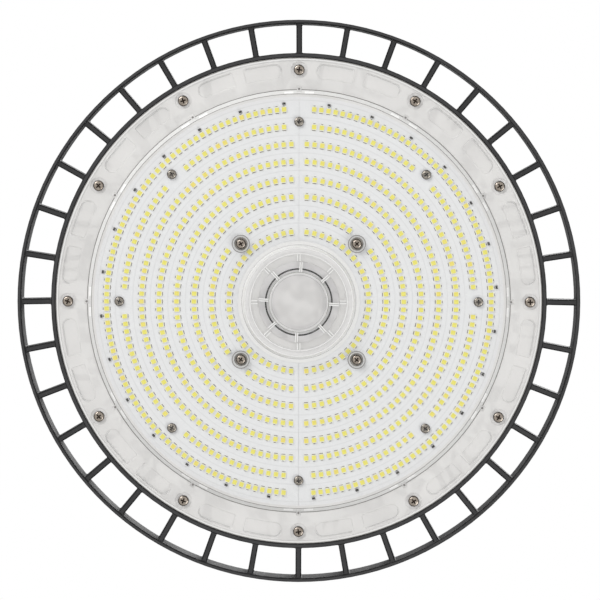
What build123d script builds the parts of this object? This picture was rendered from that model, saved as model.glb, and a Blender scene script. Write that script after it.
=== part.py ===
from build123d import *
from math import asin, cos, degrees, radians, sin, tan
import os

# High bay light, hanging, with its LED side down. Millimetres.
# Origin: centre of the hoop's lower edge, +Z up, -Y is the top of the view from below.

os.makedirs("parts", exist_ok=True)

# Running clearances
SLIP = 0.3          # between a moulding and the casting around it
HOLE_GAP = 0.2      # round a screw in a plain hole
OVERLAP = 0.6       # how deep one cast or moulded feature runs into the next

# Sensor port in the middle of the lens cover, from its axis outwards
CAP_SETBACK = 1.0         # cap face above the hoop's lower edge
CAP_HUB_RADIUS = 17.2
CAP_HUB_HEIGHT = 2.2
CAP_FACE_CHAMFER = 0.9
CAP_FLANGE_WIDTH = 5.8
CAP_FLANGE = 1.5
CAP_WALL = 1.4
CAP_SPIGOT_LENGTH = 4.0
CAP_TWIST = 3.5           # degrees between the cap's ribs and the collar's ribs
CAP_RIB_WIDTH = 1.3
PORT_RIBS = 8
PORT_HOLE_WIDTH = 1.5     # from the cap's hub to the edge of the port's hole
PORT_LEDGE = 2.9
PORT_RIB_WIDTH = 1.6
PORT_RIB_LENGTH = 4.0
PORT_RIB_HEIGHT = 1.9
COLLAR_WIDTH = 3.9
COLLAR_SPREAD = 1.6       # draft of the collar's outer wall
COLLAR_SETBACK = 1.2      # collar face above the cap face
SEAL_THICKNESS = 1.0
SEAL_WIDTH = 0.7

# LEDs, 2835 package
LED_WIDTH = 2.8
LED_LENGTH = 3.5
LED_HEIGHT = 0.75
ROW_PITCH = 10.0
SEAM_GAP = 4.4            # board seam to the nearest LED centre
KEEP_OUT = 8.6            # screw or boss axis to the nearest LED centre
BOSS_STOPS = (-45, 45)
SCREW_STOPS = (-45, 0, 45)
LED_ROWS = [
    # counts between the stops of half a row, stops in degrees, gap at the seam
    ((27,), (), SEAM_GAP),
    ((7, 15, 7), BOSS_STOPS, SEAM_GAP),
    ((41,), (), SEAM_GAP),
    ((47,), (), SEAM_GAP),
    ((55,), (), SEAM_GAP),
    ((63,), (), SEAM_GAP),
    ((15, 15, 15, 15), SCREW_STOPS, KEEP_OUT),
    ((81,), (), KEEP_OUT),
]

# LED boards
FIRST_ROW_MARGIN = 7.2    # from the collar's foot to the first row
BOARD_MARGIN = 7.4        # from the last row to the board's edge
BOARD_THICKNESS = 1.6
BOARD_SEAM = 0.1

# Driver chips on the boards
CHIPS_PER_BOARD = 14
CHIP_MARGIN = 4.1         # from the board's edge
CHIP_LENGTH = 1.8
CHIP_WIDTH = 1.2
CHIP_HEIGHT = 0.8
CHIP_SEAM_ANGLE = 4.4
CHIP_STEP_ANGLE = 12.84

# Lens cover, clear polycarbonate, outside the port
LENS_WALL = 2.0
WINDOW_RISE = 3.2         # window stands this far below the flange
WINDOW_MARGIN = 0.9       # window beyond the board's edge
STEP_WIDTH = 2.9          # run of the sloping wall between window and flange
GUSSET_WIDTH = 2.6        # small gussets across the foot of the step
GUSSET_RISE = 2.2
GUSSET_RUN = 1.8
GATE_RADIUS = 0.6         # gate mark in each gusset
GATE_DEPTH = 0.8
FLANGE_THICKNESS = 2.5
FLANGE_EDGE = 3.0         # from the pockets to the flange's edge
BEAD_WIDTH = 1.5          # raised bead round the flange's edge
BEAD_RISE = 0.3
POCKET_LAND = 0.7         # from the gasket to the pockets
POCKET_WIDTH = 8.3
POCKET_DEPTH = 1.2
POCKET_CORNER = 1.2
POCKET_MIDDLE_GAP = 3.2   # half the land between two pockets of one sector
POCKET_SCREW_GAP = 9.8    # from a rim screw's axis to the pocket's round end

# Flange gasket
GASKET_LAND = 1.9         # from the ledge's inner edge to the gasket
GASKET_WIDTH = 3.6
GASKET_THICKNESS = 2.0

# Heat sink casting
RIM_WALL = 2.4
RIM_LIP = 0.5             # the rim stands this far below the lens flange
RIM_CHAMFER = 0.4
WINDOW_LENGTH = 16.1      # from the rim to the hoop
HOOP_WALL = 2.2
HOOP_HEIGHT = 15.0
HOOP_ROUND = 0.7          # round along the hoop's lower edges
SPOKES = 36
SPOKE_WIDTH = 3.3
SPOKE_BEVEL = 0.7
SPOKE_SETBACK = 1.6       # spoke above the hoop's lower edge
SPOKE_FILLET = 0.7
PLATE_THICKNESS = 4.2
BOARD_RECESS = 1.5        # board face above the ledge that carries the lens flange
FIN_RISE = 27.0           # fins above the plate
FIN_FALL = 45.2           # from the rim inwards to where the fins start to fall
FIN_DRAFT = 1.2           # degrees on each side of a fin
FIN_RAKE = 3.0            # degrees of a fin's inner end
LONG_FIN_START = 44.0
SHORT_FIN_START = 70.0
FIN_CROWN = 9.0           # bulge of the curved fin back

# Screws in view
HEAD_ROUND_HEIGHT = 0.4   # share of a head's height that its rounded edge takes
HEAD_ROUND_WIDTH = 0.35   # share of a head's radius that its rounded edge takes
BOARD_SCREWS = 8
BOARD_SCREW_INSET = 7.3   # from the last LED row inwards
BOARD_SCREW_HEAD_RADIUS = 2.75
BOARD_SCREW_HEAD_HEIGHT = 2.0
BOARD_SCREW_RADIUS = 1.5
BOARD_SCREW_LENGTH = 5.0
RIM_SCREWS = 12
RIM_SCREW_INSET = 6.9     # from the flange's edge
RIM_SEAT_RADIUS = 4.6     # spot face in the flange under a rim screw
RIM_SEAT_DEPTH = 0.4
RIM_SCREW_HEAD_RADIUS = 3.0
RIM_SCREW_HEAD_HEIGHT = 2.3
RIM_SCREW_RADIUS = 1.5
RIM_SCREW_LENGTH = 7.0
BOSS_SCREWS = 4
BOSS_ANGLE = 45.0
BOSS_OFFSET = 6.8         # from the first LED row outwards
BOSS_SCREW_HEAD_RADIUS = 2.75
BOSS_SCREW_HEAD_HEIGHT = 2.2
BOSS_SCREW_RADIUS = 1.5
BOSS_SCREW_LENGTH = 7.4
BOSS_RADIUS = 4.75
BOSS_WALL = 0.9
BOSS_MOUTH = 1.3          # chamfer round the mouth of a boss
BOSS_WELL_DEPTH = 3.4
BOSS_SEAL_RADIUS = 3.75
BOSS_SEAL_THICKNESS = 0.8
THREAD_END = 0.6          # blind hole beyond a screw's tip

# Sensor socket and wire passage behind the cap
SOCKET_RADIUS = 14.0
SOCKET_HEIGHT = 3.6
SOCKET_WALL = 1.6
SOCKET_SLOTS = 3
SOCKET_SLOT_LENGTH = 4.6
PASSAGE_RADIUS = 10.0
PASSAGE_WALL = 4.0

# Driver housing
HOUSING_RADIUS = 80.0
HOUSING_WALL = 3.2
HOUSING_FLOOR = 3.5
HOUSING_HEIGHT = 54.0
HOUSING_FOOT = 6.0        # chamfer round the housing's lower edge
HOUSING_RIBS = 24
HOUSING_RIB_WIDTH = 3.0
HOUSING_RIB_PROUD = 2.5
LAND_WIDTH = 13.5
LAND_THICKNESS = 5.0
POSTS = 4
POST_ANGLE = 45.0
POST_RISE = 33.0          # posts above the plate
POST_RADIUS = 7.0
POST_INSET = 22.0         # from the housing's wall
POST_SCREW_RADIUS = 2.5
POST_SCREW_HEAD_RADIUS = 4.6
POST_SCREW_HEAD_HEIGHT = 3.2
POST_SCREW_LENGTH = 14.0

# Lid
LID_THICKNESS = 3.5
LID_EDGE_CHAMFER = 1.2
LID_FLAT = 14.0           # flat ring of the lid, outside its crown
LID_CROWN_RUN = 14.0
LID_CROWN_RISE = 5.0
LID_BOSS_RADIUS = 14.0
LID_BOSS_RISE = 4.0
LID_GASKET = 1.0
LID_SCREWS = 6
LID_SCREW_INSET = 7.0
LID_SCREW_RADIUS = 2.0
LID_SCREW_HEAD_RADIUS = 3.7
LID_SCREW_HEAD_HEIGHT = 2.6
LID_SCREW_LENGTH = 14.0
LID_POST_RADIUS = 5.4

# Hanging eye with its nut
EYE_RING_RADIUS = 16.0
EYE_BAR_RADIUS = 5.0
EYE_LAND = 4.0            # width of the flat track inside the ring
EYE_COLLAR_RADIUS = 11.0
EYE_COLLAR_HEIGHT = 4.0
EYE_COLLAR_TAPER = 12.0   # degrees
EYE_SINK = 1.0            # how deep the ring's bar runs into its collar
EYE_SHANK_RADIUS = 5.0
EYE_SHANK_END = 4.0       # shank beyond its nut
NUT_HEIGHT = 8.0
NUT_FLATS = 8.5           # axis to flat
WASHER_RADIUS = 10.5
WASHER_THICKNESS = 2.0

# Cable gland and breather valve in the housing wall
FITTING_HEIGHT = 24.0     # gland and valve axis above the housing floor
GLAND_THREAD_RADIUS = 10.0
GLAND_BORE = 7.0
GLAND_FLATS = 12.0
GLAND_HEX_LENGTH = 6.0
GLAND_NECK_LENGTH = 11.0
GLAND_SPIGOT_LENGTH = 12.0
GLAND_CAP_FLATS = 12.0
GLAND_CAP_LENGTH = 17.0
GLAND_CAP_WALL = 2.0
GLAND_CAP_GAP = 1.0       # from the body's hexagon to the cap
GLAND_CAP_SHOULDER = 1.0
GLAND_CAP_LIP = 1.0       # how far the cap's mouth closes over the seal
GLAND_CAP_TAPER = 30.0    # degrees
GLAND_NUT_LENGTH = 5.0
CABLE_RADIUS = 4.0
SPOT_FACE = 1.5           # flat on the round wall for the gland and valve
SPOT_WIDTH = 48.0
VALVE_THREAD_RADIUS = 6.0
VALVE_HEAD_RADIUS = 9.0
VALVE_HEAD_HEIGHT = 6.0
VALVE_CHAMFER = 1.2
VALVE_TAIL = 10.0
VALVE_BORE = 2.5

# Tapped bosses for a bracket, left and right on the housing
BRACKET_BOSS_RADIUS = 9.0
BRACKET_BOSS_PROUD = 4.0
BRACKET_HOLE_RADIUS = 3.4
BRACKET_HOLE_DEPTH = 10.0
BRACKET_BOSS_DEPTH = 14.0
BRACKET_HEIGHT = 27.0

# Driver inside the housing
DRIVER_BOARD_LENGTH = 92.0
DRIVER_BOARD_WIDTH = 62.0
DRIVER_BOARD_THICKNESS = 1.6
DRIVER_BOARD_CORNER = 3.0
SPACER_HEIGHT = 9.0
SPACER_RADIUS = 3.5
SPACER_INSET = 6.0
DRIVER_SCREW_RADIUS = 1.5
DRIVER_SCREW_HEAD_RADIUS = 2.75
DRIVER_SCREW_HEAD_HEIGHT = 2.0
DRIVER_SCREW_LENGTH = 7.0
COIL_LENGTH = 30.0
COIL_WIDTH = 28.0
COIL_HEIGHT = 17.6
CORE_LENGTH = 32.0
CORE_WIDTH = 12.0
CORE_HEIGHT = 22.0
BAY_GAP = 4.0             # between the transformer and its neighbours
CAPACITOR_RADIUS = 8.0
CAPACITOR_HEIGHT = 25.0
CAPACITOR_GAP = 1.5
CAPACITORS = 3
CHOKE_RADIUS = 9.0
CHOKE_HEIGHT = 10.0
CHOKE_HOLE_RADIUS = 4.0
TERMINALS = 3
TERMINAL_LENGTH = 20.0
TERMINAL_WIDTH = 11.0
TERMINAL_HEIGHT = 12.0
TERMINAL_HOLE_RADIUS = 1.8
TERMINAL_HOLE_DEPTH = 3.0

# Radii, from the axis outwards
port_hole_radius = CAP_HUB_RADIUS + PORT_HOLE_WIDTH
spigot_radius = port_hole_radius - SEAL_WIDTH / 2
cap_radius = CAP_HUB_RADIUS + CAP_FLANGE_WIDTH
collar_inner = cap_radius + SLIP + PORT_RIB_LENGTH
collar_outer = collar_inner + COLLAR_WIDTH
collar_foot = collar_outer + COLLAR_SPREAD
board_bore = collar_inner
first_row_radius = collar_foot + FIRST_ROW_MARGIN
last_row_radius = first_row_radius + ROW_PITCH * (len(LED_ROWS) - 1)
boss_circle = first_row_radius + BOSS_OFFSET
boss_well = BOSS_RADIUS - BOSS_WALL
board_screw_circle = last_row_radius - BOARD_SCREW_INSET
board_radius = last_row_radius + BOARD_MARGIN
chip_circle = board_radius - CHIP_MARGIN
window_radius = board_radius + WINDOW_MARGIN
step_foot = window_radius + STEP_WIDTH
step_slope = STEP_WIDTH / WINDOW_RISE
ledge_start = step_foot + SLIP
gasket_inner = ledge_start + GASKET_LAND
gasket_outer = gasket_inner + GASKET_WIDTH
pocket_inner = gasket_outer + POCKET_LAND
pocket_outer = pocket_inner + POCKET_WIDTH
flange_radius = pocket_outer + FLANGE_EDGE
rim_screw_circle = flange_radius - RIM_SCREW_INSET
rim_inner = flange_radius + SLIP
rim_radius = rim_inner + RIM_WALL
hoop_inner = rim_radius + WINDOW_LENGTH
hoop_radius = hoop_inner + HOOP_WALL
fin_shoulder = rim_radius - FIN_FALL
housing_inner = HOUSING_RADIUS - HOUSING_WALL
post_circle = HOUSING_RADIUS - POST_INSET
lid_screw_circle = HOUSING_RADIUS - LID_SCREW_INSET
lid_crown_foot = HOUSING_RADIUS - LID_FLAT
lid_crown_radius = lid_crown_foot - LID_CROWN_RUN

# Heights, from the hoop's lower edge upwards
cap_flange_front = CAP_SETBACK + CAP_HUB_HEIGHT
ledge_front = cap_flange_front + CAP_FLANGE
window_back = ledge_front + PORT_LEDGE
window_front = window_back - LENS_WALL
boss_seat = window_front + BOSS_WELL_DEPTH
flange_front = window_front + WINDOW_RISE
flange_back = flange_front + FLANGE_THICKNESS
rim_seat = flange_front + RIM_SEAT_DEPTH
plate_face = flange_back + BOARD_RECESS
plate_back = plate_face + PLATE_THICKNESS
rim_front = flange_front - RIM_LIP
board_front = plate_face - BOARD_THICKNESS
fin_top = plate_back + FIN_RISE
post_top = plate_back + POST_RISE
inner_floor = post_top + HOUSING_FLOOR
fitting_z = post_top + FITTING_HEIGHT
bracket_z = post_top + BRACKET_HEIGHT
rib_length = HOUSING_HEIGHT - HOUSING_FOOT - LAND_THICKNESS
housing_top = post_top + HOUSING_HEIGHT
lid_seat = housing_top + LID_GASKET
lid_top = lid_seat + LID_THICKNESS
crown_underside = lid_seat + LID_CROWN_RISE
crown_top = lid_top + LID_CROWN_RISE
lid_boss_top = crown_top + LID_BOSS_RISE
eye_centre = lid_boss_top + EYE_COLLAR_HEIGHT + EYE_RING_RADIUS + EYE_BAR_RADIUS - EYE_SINK

# Places along the gland's axis, from the middle of the housing
spot = HOUSING_RADIUS - SPOT_FACE
cap_start = spot + GLAND_HEX_LENGTH + GLAND_CAP_GAP


def hexagon_radius(flats):
    """Corner radius of a hexagon from its distance axis to flat."""
    return flats / cos(radians(30))


# Heat sink, one casting
with BuildSketch(Plane.XY) as windows:
    Circle(hoop_inner)
    Circle(rim_radius, mode=Mode.SUBTRACT)
    with PolarLocations((hoop_inner + rim_radius) / 2, SPOKES):
        Rectangle(2 * (hoop_inner - rim_radius), SPOKE_WIDTH, mode=Mode.SUBTRACT)
    fillet(windows.vertices(), min(SPOKE_FILLET, WINDOW_LENGTH / 4))

hoop_round = min(HOOP_ROUND, HOOP_WALL / 3)
spoke_drop = rim_front + RIM_CHAMFER - SPOKE_SETBACK
spoke_run = (WINDOW_LENGTH ** 2 + spoke_drop ** 2) ** 0.5
along_spoke = Plane(
    origin=(rim_radius, 0, rim_front + RIM_CHAMFER),
    x_dir=(0, 1, 0),
    z_dir=(WINDOW_LENGTH, 0, -spoke_drop),
)
with BuildPart() as bevel_cutter:
    with BuildSketch(along_spoke.offset(SPOKE_FILLET)):
        for side in (1, -1):
            with BuildLine():
                Polyline(
                    (side * (SPOKE_WIDTH / 2 - SPOKE_BEVEL - HOLE_GAP), -HOLE_GAP),
                    (side * (SPOKE_WIDTH / 2 + HOLE_GAP), -HOLE_GAP),
                    (side * (SPOKE_WIDTH / 2 + HOLE_GAP), SPOKE_BEVEL + HOLE_GAP),
                    close=True,
                )
            make_face()
    extrude(amount=spoke_run - 2 * SPOKE_FILLET)
spoke_bevels = bevel_cutter.part


def fin(start):
    """One radial fin with drafted sides, from the radius start out to the hoop."""
    with BuildPart() as blade:
        with BuildSketch(Plane.XZ):
            with BuildLine():
                Polyline(
                    (fin_shoulder, fin_top),
                    (start + FIN_RISE * tan(radians(FIN_RAKE)), fin_top),
                    (start, plate_back - OVERLAP),
                    (rim_radius - OVERLAP, plate_back - OVERLAP),
                    (rim_radius - OVERLAP, HOOP_HEIGHT - OVERLAP),
                    (hoop_inner + OVERLAP, HOOP_HEIGHT - OVERLAP),
                    (hoop_inner + OVERLAP, HOOP_HEIGHT),
                )
                SagittaArc((hoop_inner + OVERLAP, HOOP_HEIGHT), (fin_shoulder, fin_top), -FIN_CROWN)
            make_face()
        extrude(amount=SPOKE_WIDTH / 2, both=True)
        for side in (1, -1):
            flank = Plane(
                origin=(0, side * SPOKE_WIDTH / 2, plate_back),
                x_dir=(1, 0, 0),
                z_dir=(0, side * cos(radians(FIN_DRAFT)), sin(radians(FIN_DRAFT))),
            )
            split(bisect_by=flank, keep=Keep.BOTTOM)
    return blade.part


long_fin = fin(LONG_FIN_START)
short_fin = fin(SHORT_FIN_START)

with BuildPart() as heat_sink:
    with BuildSketch(Plane.XY) as grille:
        Circle(hoop_radius)
        Circle(rim_inner, mode=Mode.SUBTRACT)
        add(windows.sketch, mode=Mode.SUBTRACT)
    extrude(amount=HOOP_HEIGHT)
    with BuildSketch(Plane.XZ) as spoke_relief:
        with BuildLine():
            Polyline(
                (rim_inner - OVERLAP, -OVERLAP),
                (hoop_inner, -OVERLAP),
                (hoop_inner, SPOKE_SETBACK),
                (rim_radius, rim_front + RIM_CHAMFER),
                (rim_radius - RIM_CHAMFER, rim_front),
                (rim_inner + RIM_CHAMFER, rim_front),
                (rim_inner, rim_front + RIM_CHAMFER),
                (rim_inner - OVERLAP, rim_front + RIM_CHAMFER),
                close=True,
            )
        make_face()
    revolve(axis=Axis.Z, mode=Mode.SUBTRACT)
    with PolarLocations(0, SPOKES):
        add(spoke_bevels, mode=Mode.SUBTRACT)
    fillet(heat_sink.edges().filter_by(GeomType.CIRCLE).group_by(Axis.Z)[0], hoop_round)
    with BuildSketch(Plane.XZ) as plate_section:
        with BuildLine():
            Polyline(
                (0, plate_face),
                (ledge_start, plate_face),
                (ledge_start, flange_back),
                (gasket_inner, flange_back),
                (gasket_inner, flange_back + GASKET_THICKNESS),
                (gasket_outer, flange_back + GASKET_THICKNESS),
                (gasket_outer, flange_back),
                (rim_radius, flange_back),
                (rim_radius, plate_back),
                (0, plate_back),
                close=True,
            )
        make_face()
    revolve(axis=Axis.Z)
    with PolarLocations(0, SPOKES // 2):
        add(long_fin)
    with PolarLocations(0, SPOKES // 2, start_angle=360 / SPOKES):
        add(short_fin)
    with BuildSketch(Plane.XY.offset(plate_back - OVERLAP)):
        with PolarLocations(post_circle, POSTS, start_angle=POST_ANGLE):
            Circle(POST_RADIUS)
        Circle(PASSAGE_RADIUS + PASSAGE_WALL)
    extrude(amount=POST_RISE + OVERLAP)
    with BuildSketch(Plane.XY.offset(plate_face)):
        Circle(PASSAGE_RADIUS)
    extrude(amount=post_top - plate_face, mode=Mode.SUBTRACT)
    with BuildSketch(Plane.XY.offset(post_top)):
        with PolarLocations(post_circle, POSTS, start_angle=POST_ANGLE):
            Circle(POST_SCREW_RADIUS)
    extrude(amount=HOUSING_FLOOR - POST_SCREW_LENGTH - THREAD_END, mode=Mode.SUBTRACT)
    with BuildSketch(Plane.XY.offset(plate_face)):
        with PolarLocations(board_screw_circle, BOARD_SCREWS):
            Circle(BOARD_SCREW_RADIUS)
    extrude(amount=BOARD_SCREW_LENGTH - BOARD_THICKNESS + THREAD_END, mode=Mode.SUBTRACT)
    with BuildSketch(Plane.XY.offset(plate_face)):
        with PolarLocations(boss_circle, BOSS_SCREWS, start_angle=BOSS_ANGLE):
            Circle(BOSS_SCREW_RADIUS)
    extrude(amount=boss_seat - BOSS_SEAL_THICKNESS + BOSS_SCREW_LENGTH - plate_face + THREAD_END,
            mode=Mode.SUBTRACT)
    with BuildSketch(Plane.XY.offset(flange_back)):
        with PolarLocations(rim_screw_circle, RIM_SCREWS):
            Circle(RIM_SCREW_RADIUS)
    extrude(amount=rim_seat + RIM_SCREW_LENGTH - flange_back + THREAD_END, mode=Mode.SUBTRACT)
heat_sink.part.label = "heat_sink"
export_step(heat_sink.part, "parts/heat_sink.step")

# Lens cover, one clear moulding
sector = 360 / RIM_SCREWS
pocket_middle = (pocket_inner + pocket_outer) / 2
pocket_end_radius = (pocket_outer - pocket_inner) / 2
pocket_start = degrees(POCKET_MIDDLE_GAP / pocket_middle)
pocket_stop = sector / 2 - degrees((POCKET_SCREW_GAP + pocket_end_radius) / pocket_middle)


def on_circle(radius, angle):
    """Point at a radius and an angle in degrees."""
    return (radius * cos(radians(angle)), radius * sin(radians(angle)))


def pocket_outline(side):
    """Oblong pocket beside the middle of a sector, square at the middle and round at the screw."""
    with BuildSketch(Plane.XY) as pocket:
        with BuildLine():
            CenterArc((0, 0), pocket_outer, side * pocket_start, side * (pocket_stop - pocket_start))
            ThreePointArc(
                on_circle(pocket_outer, side * pocket_stop),
                on_circle(pocket_middle, side * (pocket_stop + degrees(pocket_end_radius / pocket_middle))),
                on_circle(pocket_inner, side * pocket_stop),
            )
            CenterArc((0, 0), pocket_inner, side * pocket_stop, side * (pocket_start - pocket_stop))
            Line(on_circle(pocket_inner, side * pocket_start), on_circle(pocket_outer, side * pocket_start))
        make_face()
        corners = [v for v in pocket.vertices() if abs(degrees(asin(v.Y / Vector(v.X, v.Y).length)))
                   < (pocket_start + pocket_stop) / 2]
        fillet(corners, POCKET_CORNER)
    return pocket.sketch


pockets = [pocket_outline(1), pocket_outline(-1)]

with BuildPart() as gusset:
    with BuildSketch(Plane.XZ):
        with BuildLine():
            Polyline(
                (step_foot + GUSSET_RUN, flange_front),
                (step_foot - step_slope * GUSSET_RISE, flange_front - GUSSET_RISE),
                (step_foot - step_slope * GUSSET_RISE, flange_front + OVERLAP),
                (step_foot + GUSSET_RUN, flange_front + OVERLAP),
                close=True,
            )
        make_face()
    extrude(amount=GUSSET_WIDTH / 2, both=True)

with BuildPart() as lens_cover:
    with BuildSketch(Plane.XZ):
        with BuildLine():
            Polyline(
                (flange_radius, flange_front - BEAD_RISE),
                (flange_radius - BEAD_WIDTH, flange_front - BEAD_RISE),
                (flange_radius - BEAD_WIDTH, flange_front),
                (step_foot, flange_front),
                (window_radius, window_front),
                (collar_foot, window_front),
                (collar_outer, CAP_SETBACK + COLLAR_SETBACK),
                (collar_inner, CAP_SETBACK + COLLAR_SETBACK),
                (collar_inner, ledge_front),
                (port_hole_radius + SEAL_WIDTH, ledge_front),
                (port_hole_radius + SEAL_WIDTH, ledge_front + SEAL_THICKNESS),
                (port_hole_radius, ledge_front + SEAL_THICKNESS),
                (port_hole_radius, window_back),
                (window_radius - LENS_WALL / 2, window_back),
                (window_radius - LENS_WALL / 2 + step_slope * (flange_back - window_back), flange_back),
                (flange_radius, flange_back),
                close=True,
            )
        make_face()
    revolve(axis=Axis.Z)
    with BuildSketch(Plane.XY.offset(window_front)):
        with PolarLocations(boss_circle, BOSS_SCREWS, start_angle=BOSS_ANGLE):
            Circle(BOSS_RADIUS)
    extrude(amount=plate_face - window_front)
    with BuildSketch(Plane.XY.offset(window_front)):
        with PolarLocations(boss_circle, BOSS_SCREWS, start_angle=BOSS_ANGLE):
            Circle(boss_well)
    extrude(amount=BOSS_WELL_DEPTH, mode=Mode.SUBTRACT)
    mouths = [
        edge for edge in lens_cover.edges().filter_by(GeomType.CIRCLE)
        if abs(edge.radius - boss_well) < HOLE_GAP and abs(edge.center().Z - window_front) < HOLE_GAP
    ]
    chamfer(mouths, BOSS_MOUTH)
    with BuildSketch(Plane.XY.offset(window_front)):
        with PolarLocations(boss_circle, BOSS_SCREWS, start_angle=BOSS_ANGLE):
            Circle(BOSS_SCREW_RADIUS + HOLE_GAP)
    extrude(amount=plate_face - window_front, mode=Mode.SUBTRACT)
    with BuildSketch(Plane.XY.offset(flange_front)):
        with PolarLocations(rim_screw_circle, RIM_SCREWS):
            Circle(RIM_SCREW_RADIUS + HOLE_GAP)
    extrude(amount=FLANGE_THICKNESS, mode=Mode.SUBTRACT)
    with BuildSketch(Plane.XY.offset(flange_front)):
        with PolarLocations(rim_screw_circle, RIM_SCREWS):
            Circle(RIM_SEAT_RADIUS)
    extrude(amount=RIM_SEAT_DEPTH, mode=Mode.SUBTRACT)
    with BuildSketch(Plane.XY.offset(flange_front)):
        with PolarLocations(0, RIM_SCREWS, start_angle=sector / 2):
            for pocket in pockets:
                add(pocket)
    extrude(amount=POCKET_DEPTH, mode=Mode.SUBTRACT)
    with PolarLocations(0, RIM_SCREWS):
        add(gusset.part)
    with BuildSketch(Plane.XY.offset(flange_front - GUSSET_RISE)):
        with PolarLocations(step_foot, RIM_SCREWS):
            Circle(GATE_RADIUS)
    extrude(amount=GUSSET_RISE + GATE_DEPTH, mode=Mode.SUBTRACT)
    with BuildSketch(Plane.XY.offset(ledge_front - PORT_RIB_HEIGHT)):
        with PolarLocations(collar_inner + (OVERLAP - PORT_RIB_LENGTH) / 2, PORT_RIBS):
            Rectangle(PORT_RIB_LENGTH + OVERLAP, PORT_RIB_WIDTH)
    extrude(amount=PORT_RIB_HEIGHT + OVERLAP)
lens_cover.part.label = "lens_cover"
export_step(lens_cover.part, "parts/lens_cover.step")

with BuildPart() as lens_gasket:
    with BuildSketch(Plane.XY.offset(flange_back)):
        Circle(gasket_outer)
        Circle(gasket_inner, mode=Mode.SUBTRACT)
    extrude(amount=GASKET_THICKNESS)
lens_gasket.part.label = "lens_gasket"
export_step(lens_gasket.part, "parts/lens_gasket.step")

# Sensor port cap with its finger ribs, and the black seal round its spigot
with BuildPart() as sensor_port_cap:
    with BuildSketch(Plane.XZ):
        with BuildLine():
            Polyline(
                (0, CAP_SETBACK),
                (CAP_HUB_RADIUS - CAP_FACE_CHAMFER, CAP_SETBACK),
                (CAP_HUB_RADIUS, CAP_SETBACK + CAP_FACE_CHAMFER),
                (CAP_HUB_RADIUS, cap_flange_front),
                (cap_radius, cap_flange_front),
                (cap_radius, ledge_front),
                (spigot_radius, ledge_front),
                (spigot_radius, ledge_front + CAP_SPIGOT_LENGTH),
                (spigot_radius - CAP_WALL, ledge_front + CAP_SPIGOT_LENGTH),
                (spigot_radius - CAP_WALL, cap_flange_front),
                (CAP_HUB_RADIUS - CAP_WALL, CAP_SETBACK + CAP_WALL),
                (0, CAP_SETBACK + CAP_WALL),
                close=True,
            )
        make_face()
    revolve(axis=Axis.Z)
    with BuildSketch(Plane.XY.offset(CAP_SETBACK + CAP_FACE_CHAMFER)):
        with PolarLocations((CAP_HUB_RADIUS + cap_radius) / 2, PORT_RIBS, start_angle=CAP_TWIST):
            Rectangle(cap_radius - CAP_HUB_RADIUS + OVERLAP, CAP_RIB_WIDTH)
        Circle(cap_radius, mode=Mode.INTERSECT)
    extrude(amount=CAP_HUB_HEIGHT - CAP_FACE_CHAMFER)
sensor_port_cap.part.label = "sensor_port_cap"
export_step(sensor_port_cap.part, "parts/sensor_port_cap.step")

with BuildPart() as sensor_port_seal:
    with BuildSketch(Plane.XY.offset(ledge_front)):
        Circle(port_hole_radius + SEAL_WIDTH)
        Circle(spigot_radius, mode=Mode.SUBTRACT)
    extrude(amount=SEAL_THICKNESS)
sensor_port_seal.part.label = "sensor_port_seal"
export_step(sensor_port_seal.part, "parts/sensor_port_seal.step")

# LED boards, two halves with their seam along Y
for side, name in ((-1, "led_board_left"), (1, "led_board_right")):
    with BuildPart() as led_board:
        with BuildSketch(Plane.XY.offset(board_front)):
            Circle(board_radius)
            Circle(board_bore, mode=Mode.SUBTRACT)
            with Locations((side * (board_radius + BOARD_SEAM / 2), 0)):
                Rectangle(2 * board_radius, 2 * board_radius, mode=Mode.INTERSECT)
            with PolarLocations(board_screw_circle, BOARD_SCREWS):
                Circle(BOARD_SCREW_RADIUS + HOLE_GAP, mode=Mode.SUBTRACT)
            with PolarLocations(boss_circle, BOSS_SCREWS, start_angle=BOSS_ANGLE):
                Circle(BOSS_RADIUS + SLIP, mode=Mode.SUBTRACT)
        extrude(amount=BOARD_THICKNESS)
    led_board.part.label = name
    export_step(led_board.part, f"parts/{name}.step")

# LEDs in rings. A ring is broken at the seam, and at the bosses or screws that it meets.
def row_places(radius, counts, stops, end_gap):
    """Places of one row's LEDs on both boards, each turned to face outward."""
    end = 90 - degrees(end_gap / radius)
    clear = degrees(KEEP_OUT / radius)
    starts = [-end] + [stop + clear for stop in stops]
    ends = [stop - clear for stop in stops] + [end]
    angles = []
    for first, last, count in zip(starts, ends, counts):
        angles += [first + (last - first) * i / (count - 1) for i in range(count)]
    both_boards = angles + [angle + 180 for angle in angles]
    return [Location((*on_circle(radius, angle), 0), (0, 0, angle)) for angle in both_boards]


for index, (counts, stops, end_gap) in enumerate(LED_ROWS):
    name = f"led_row_{index + 1}"
    with BuildPart() as led_row:
        with BuildSketch(Plane.XY.offset(board_front)):
            with Locations(*row_places(first_row_radius + ROW_PITCH * index, counts, stops, end_gap)):
                Rectangle(LED_LENGTH, LED_WIDTH)
        extrude(amount=-LED_HEIGHT)
    led_row.part.label = name
    export_step(led_row.part, f"parts/{name}.step")

chip_angles = [90 - CHIP_SEAM_ANGLE - CHIP_STEP_ANGLE * i for i in range(CHIPS_PER_BOARD)]
chip_places = [
    Location((*on_circle(chip_circle, angle + turn), 0), (0, 0, angle + turn))
    for turn in (0, 180) for angle in chip_angles
]
with BuildPart() as board_chips:
    with BuildSketch(Plane.XY.offset(board_front)):
        with Locations(*chip_places):
            Rectangle(CHIP_WIDTH, CHIP_LENGTH)
    extrude(amount=-CHIP_HEIGHT)
board_chips.part.label = "board_chips"
export_step(board_chips.part, "parts/board_chips.step")


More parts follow.
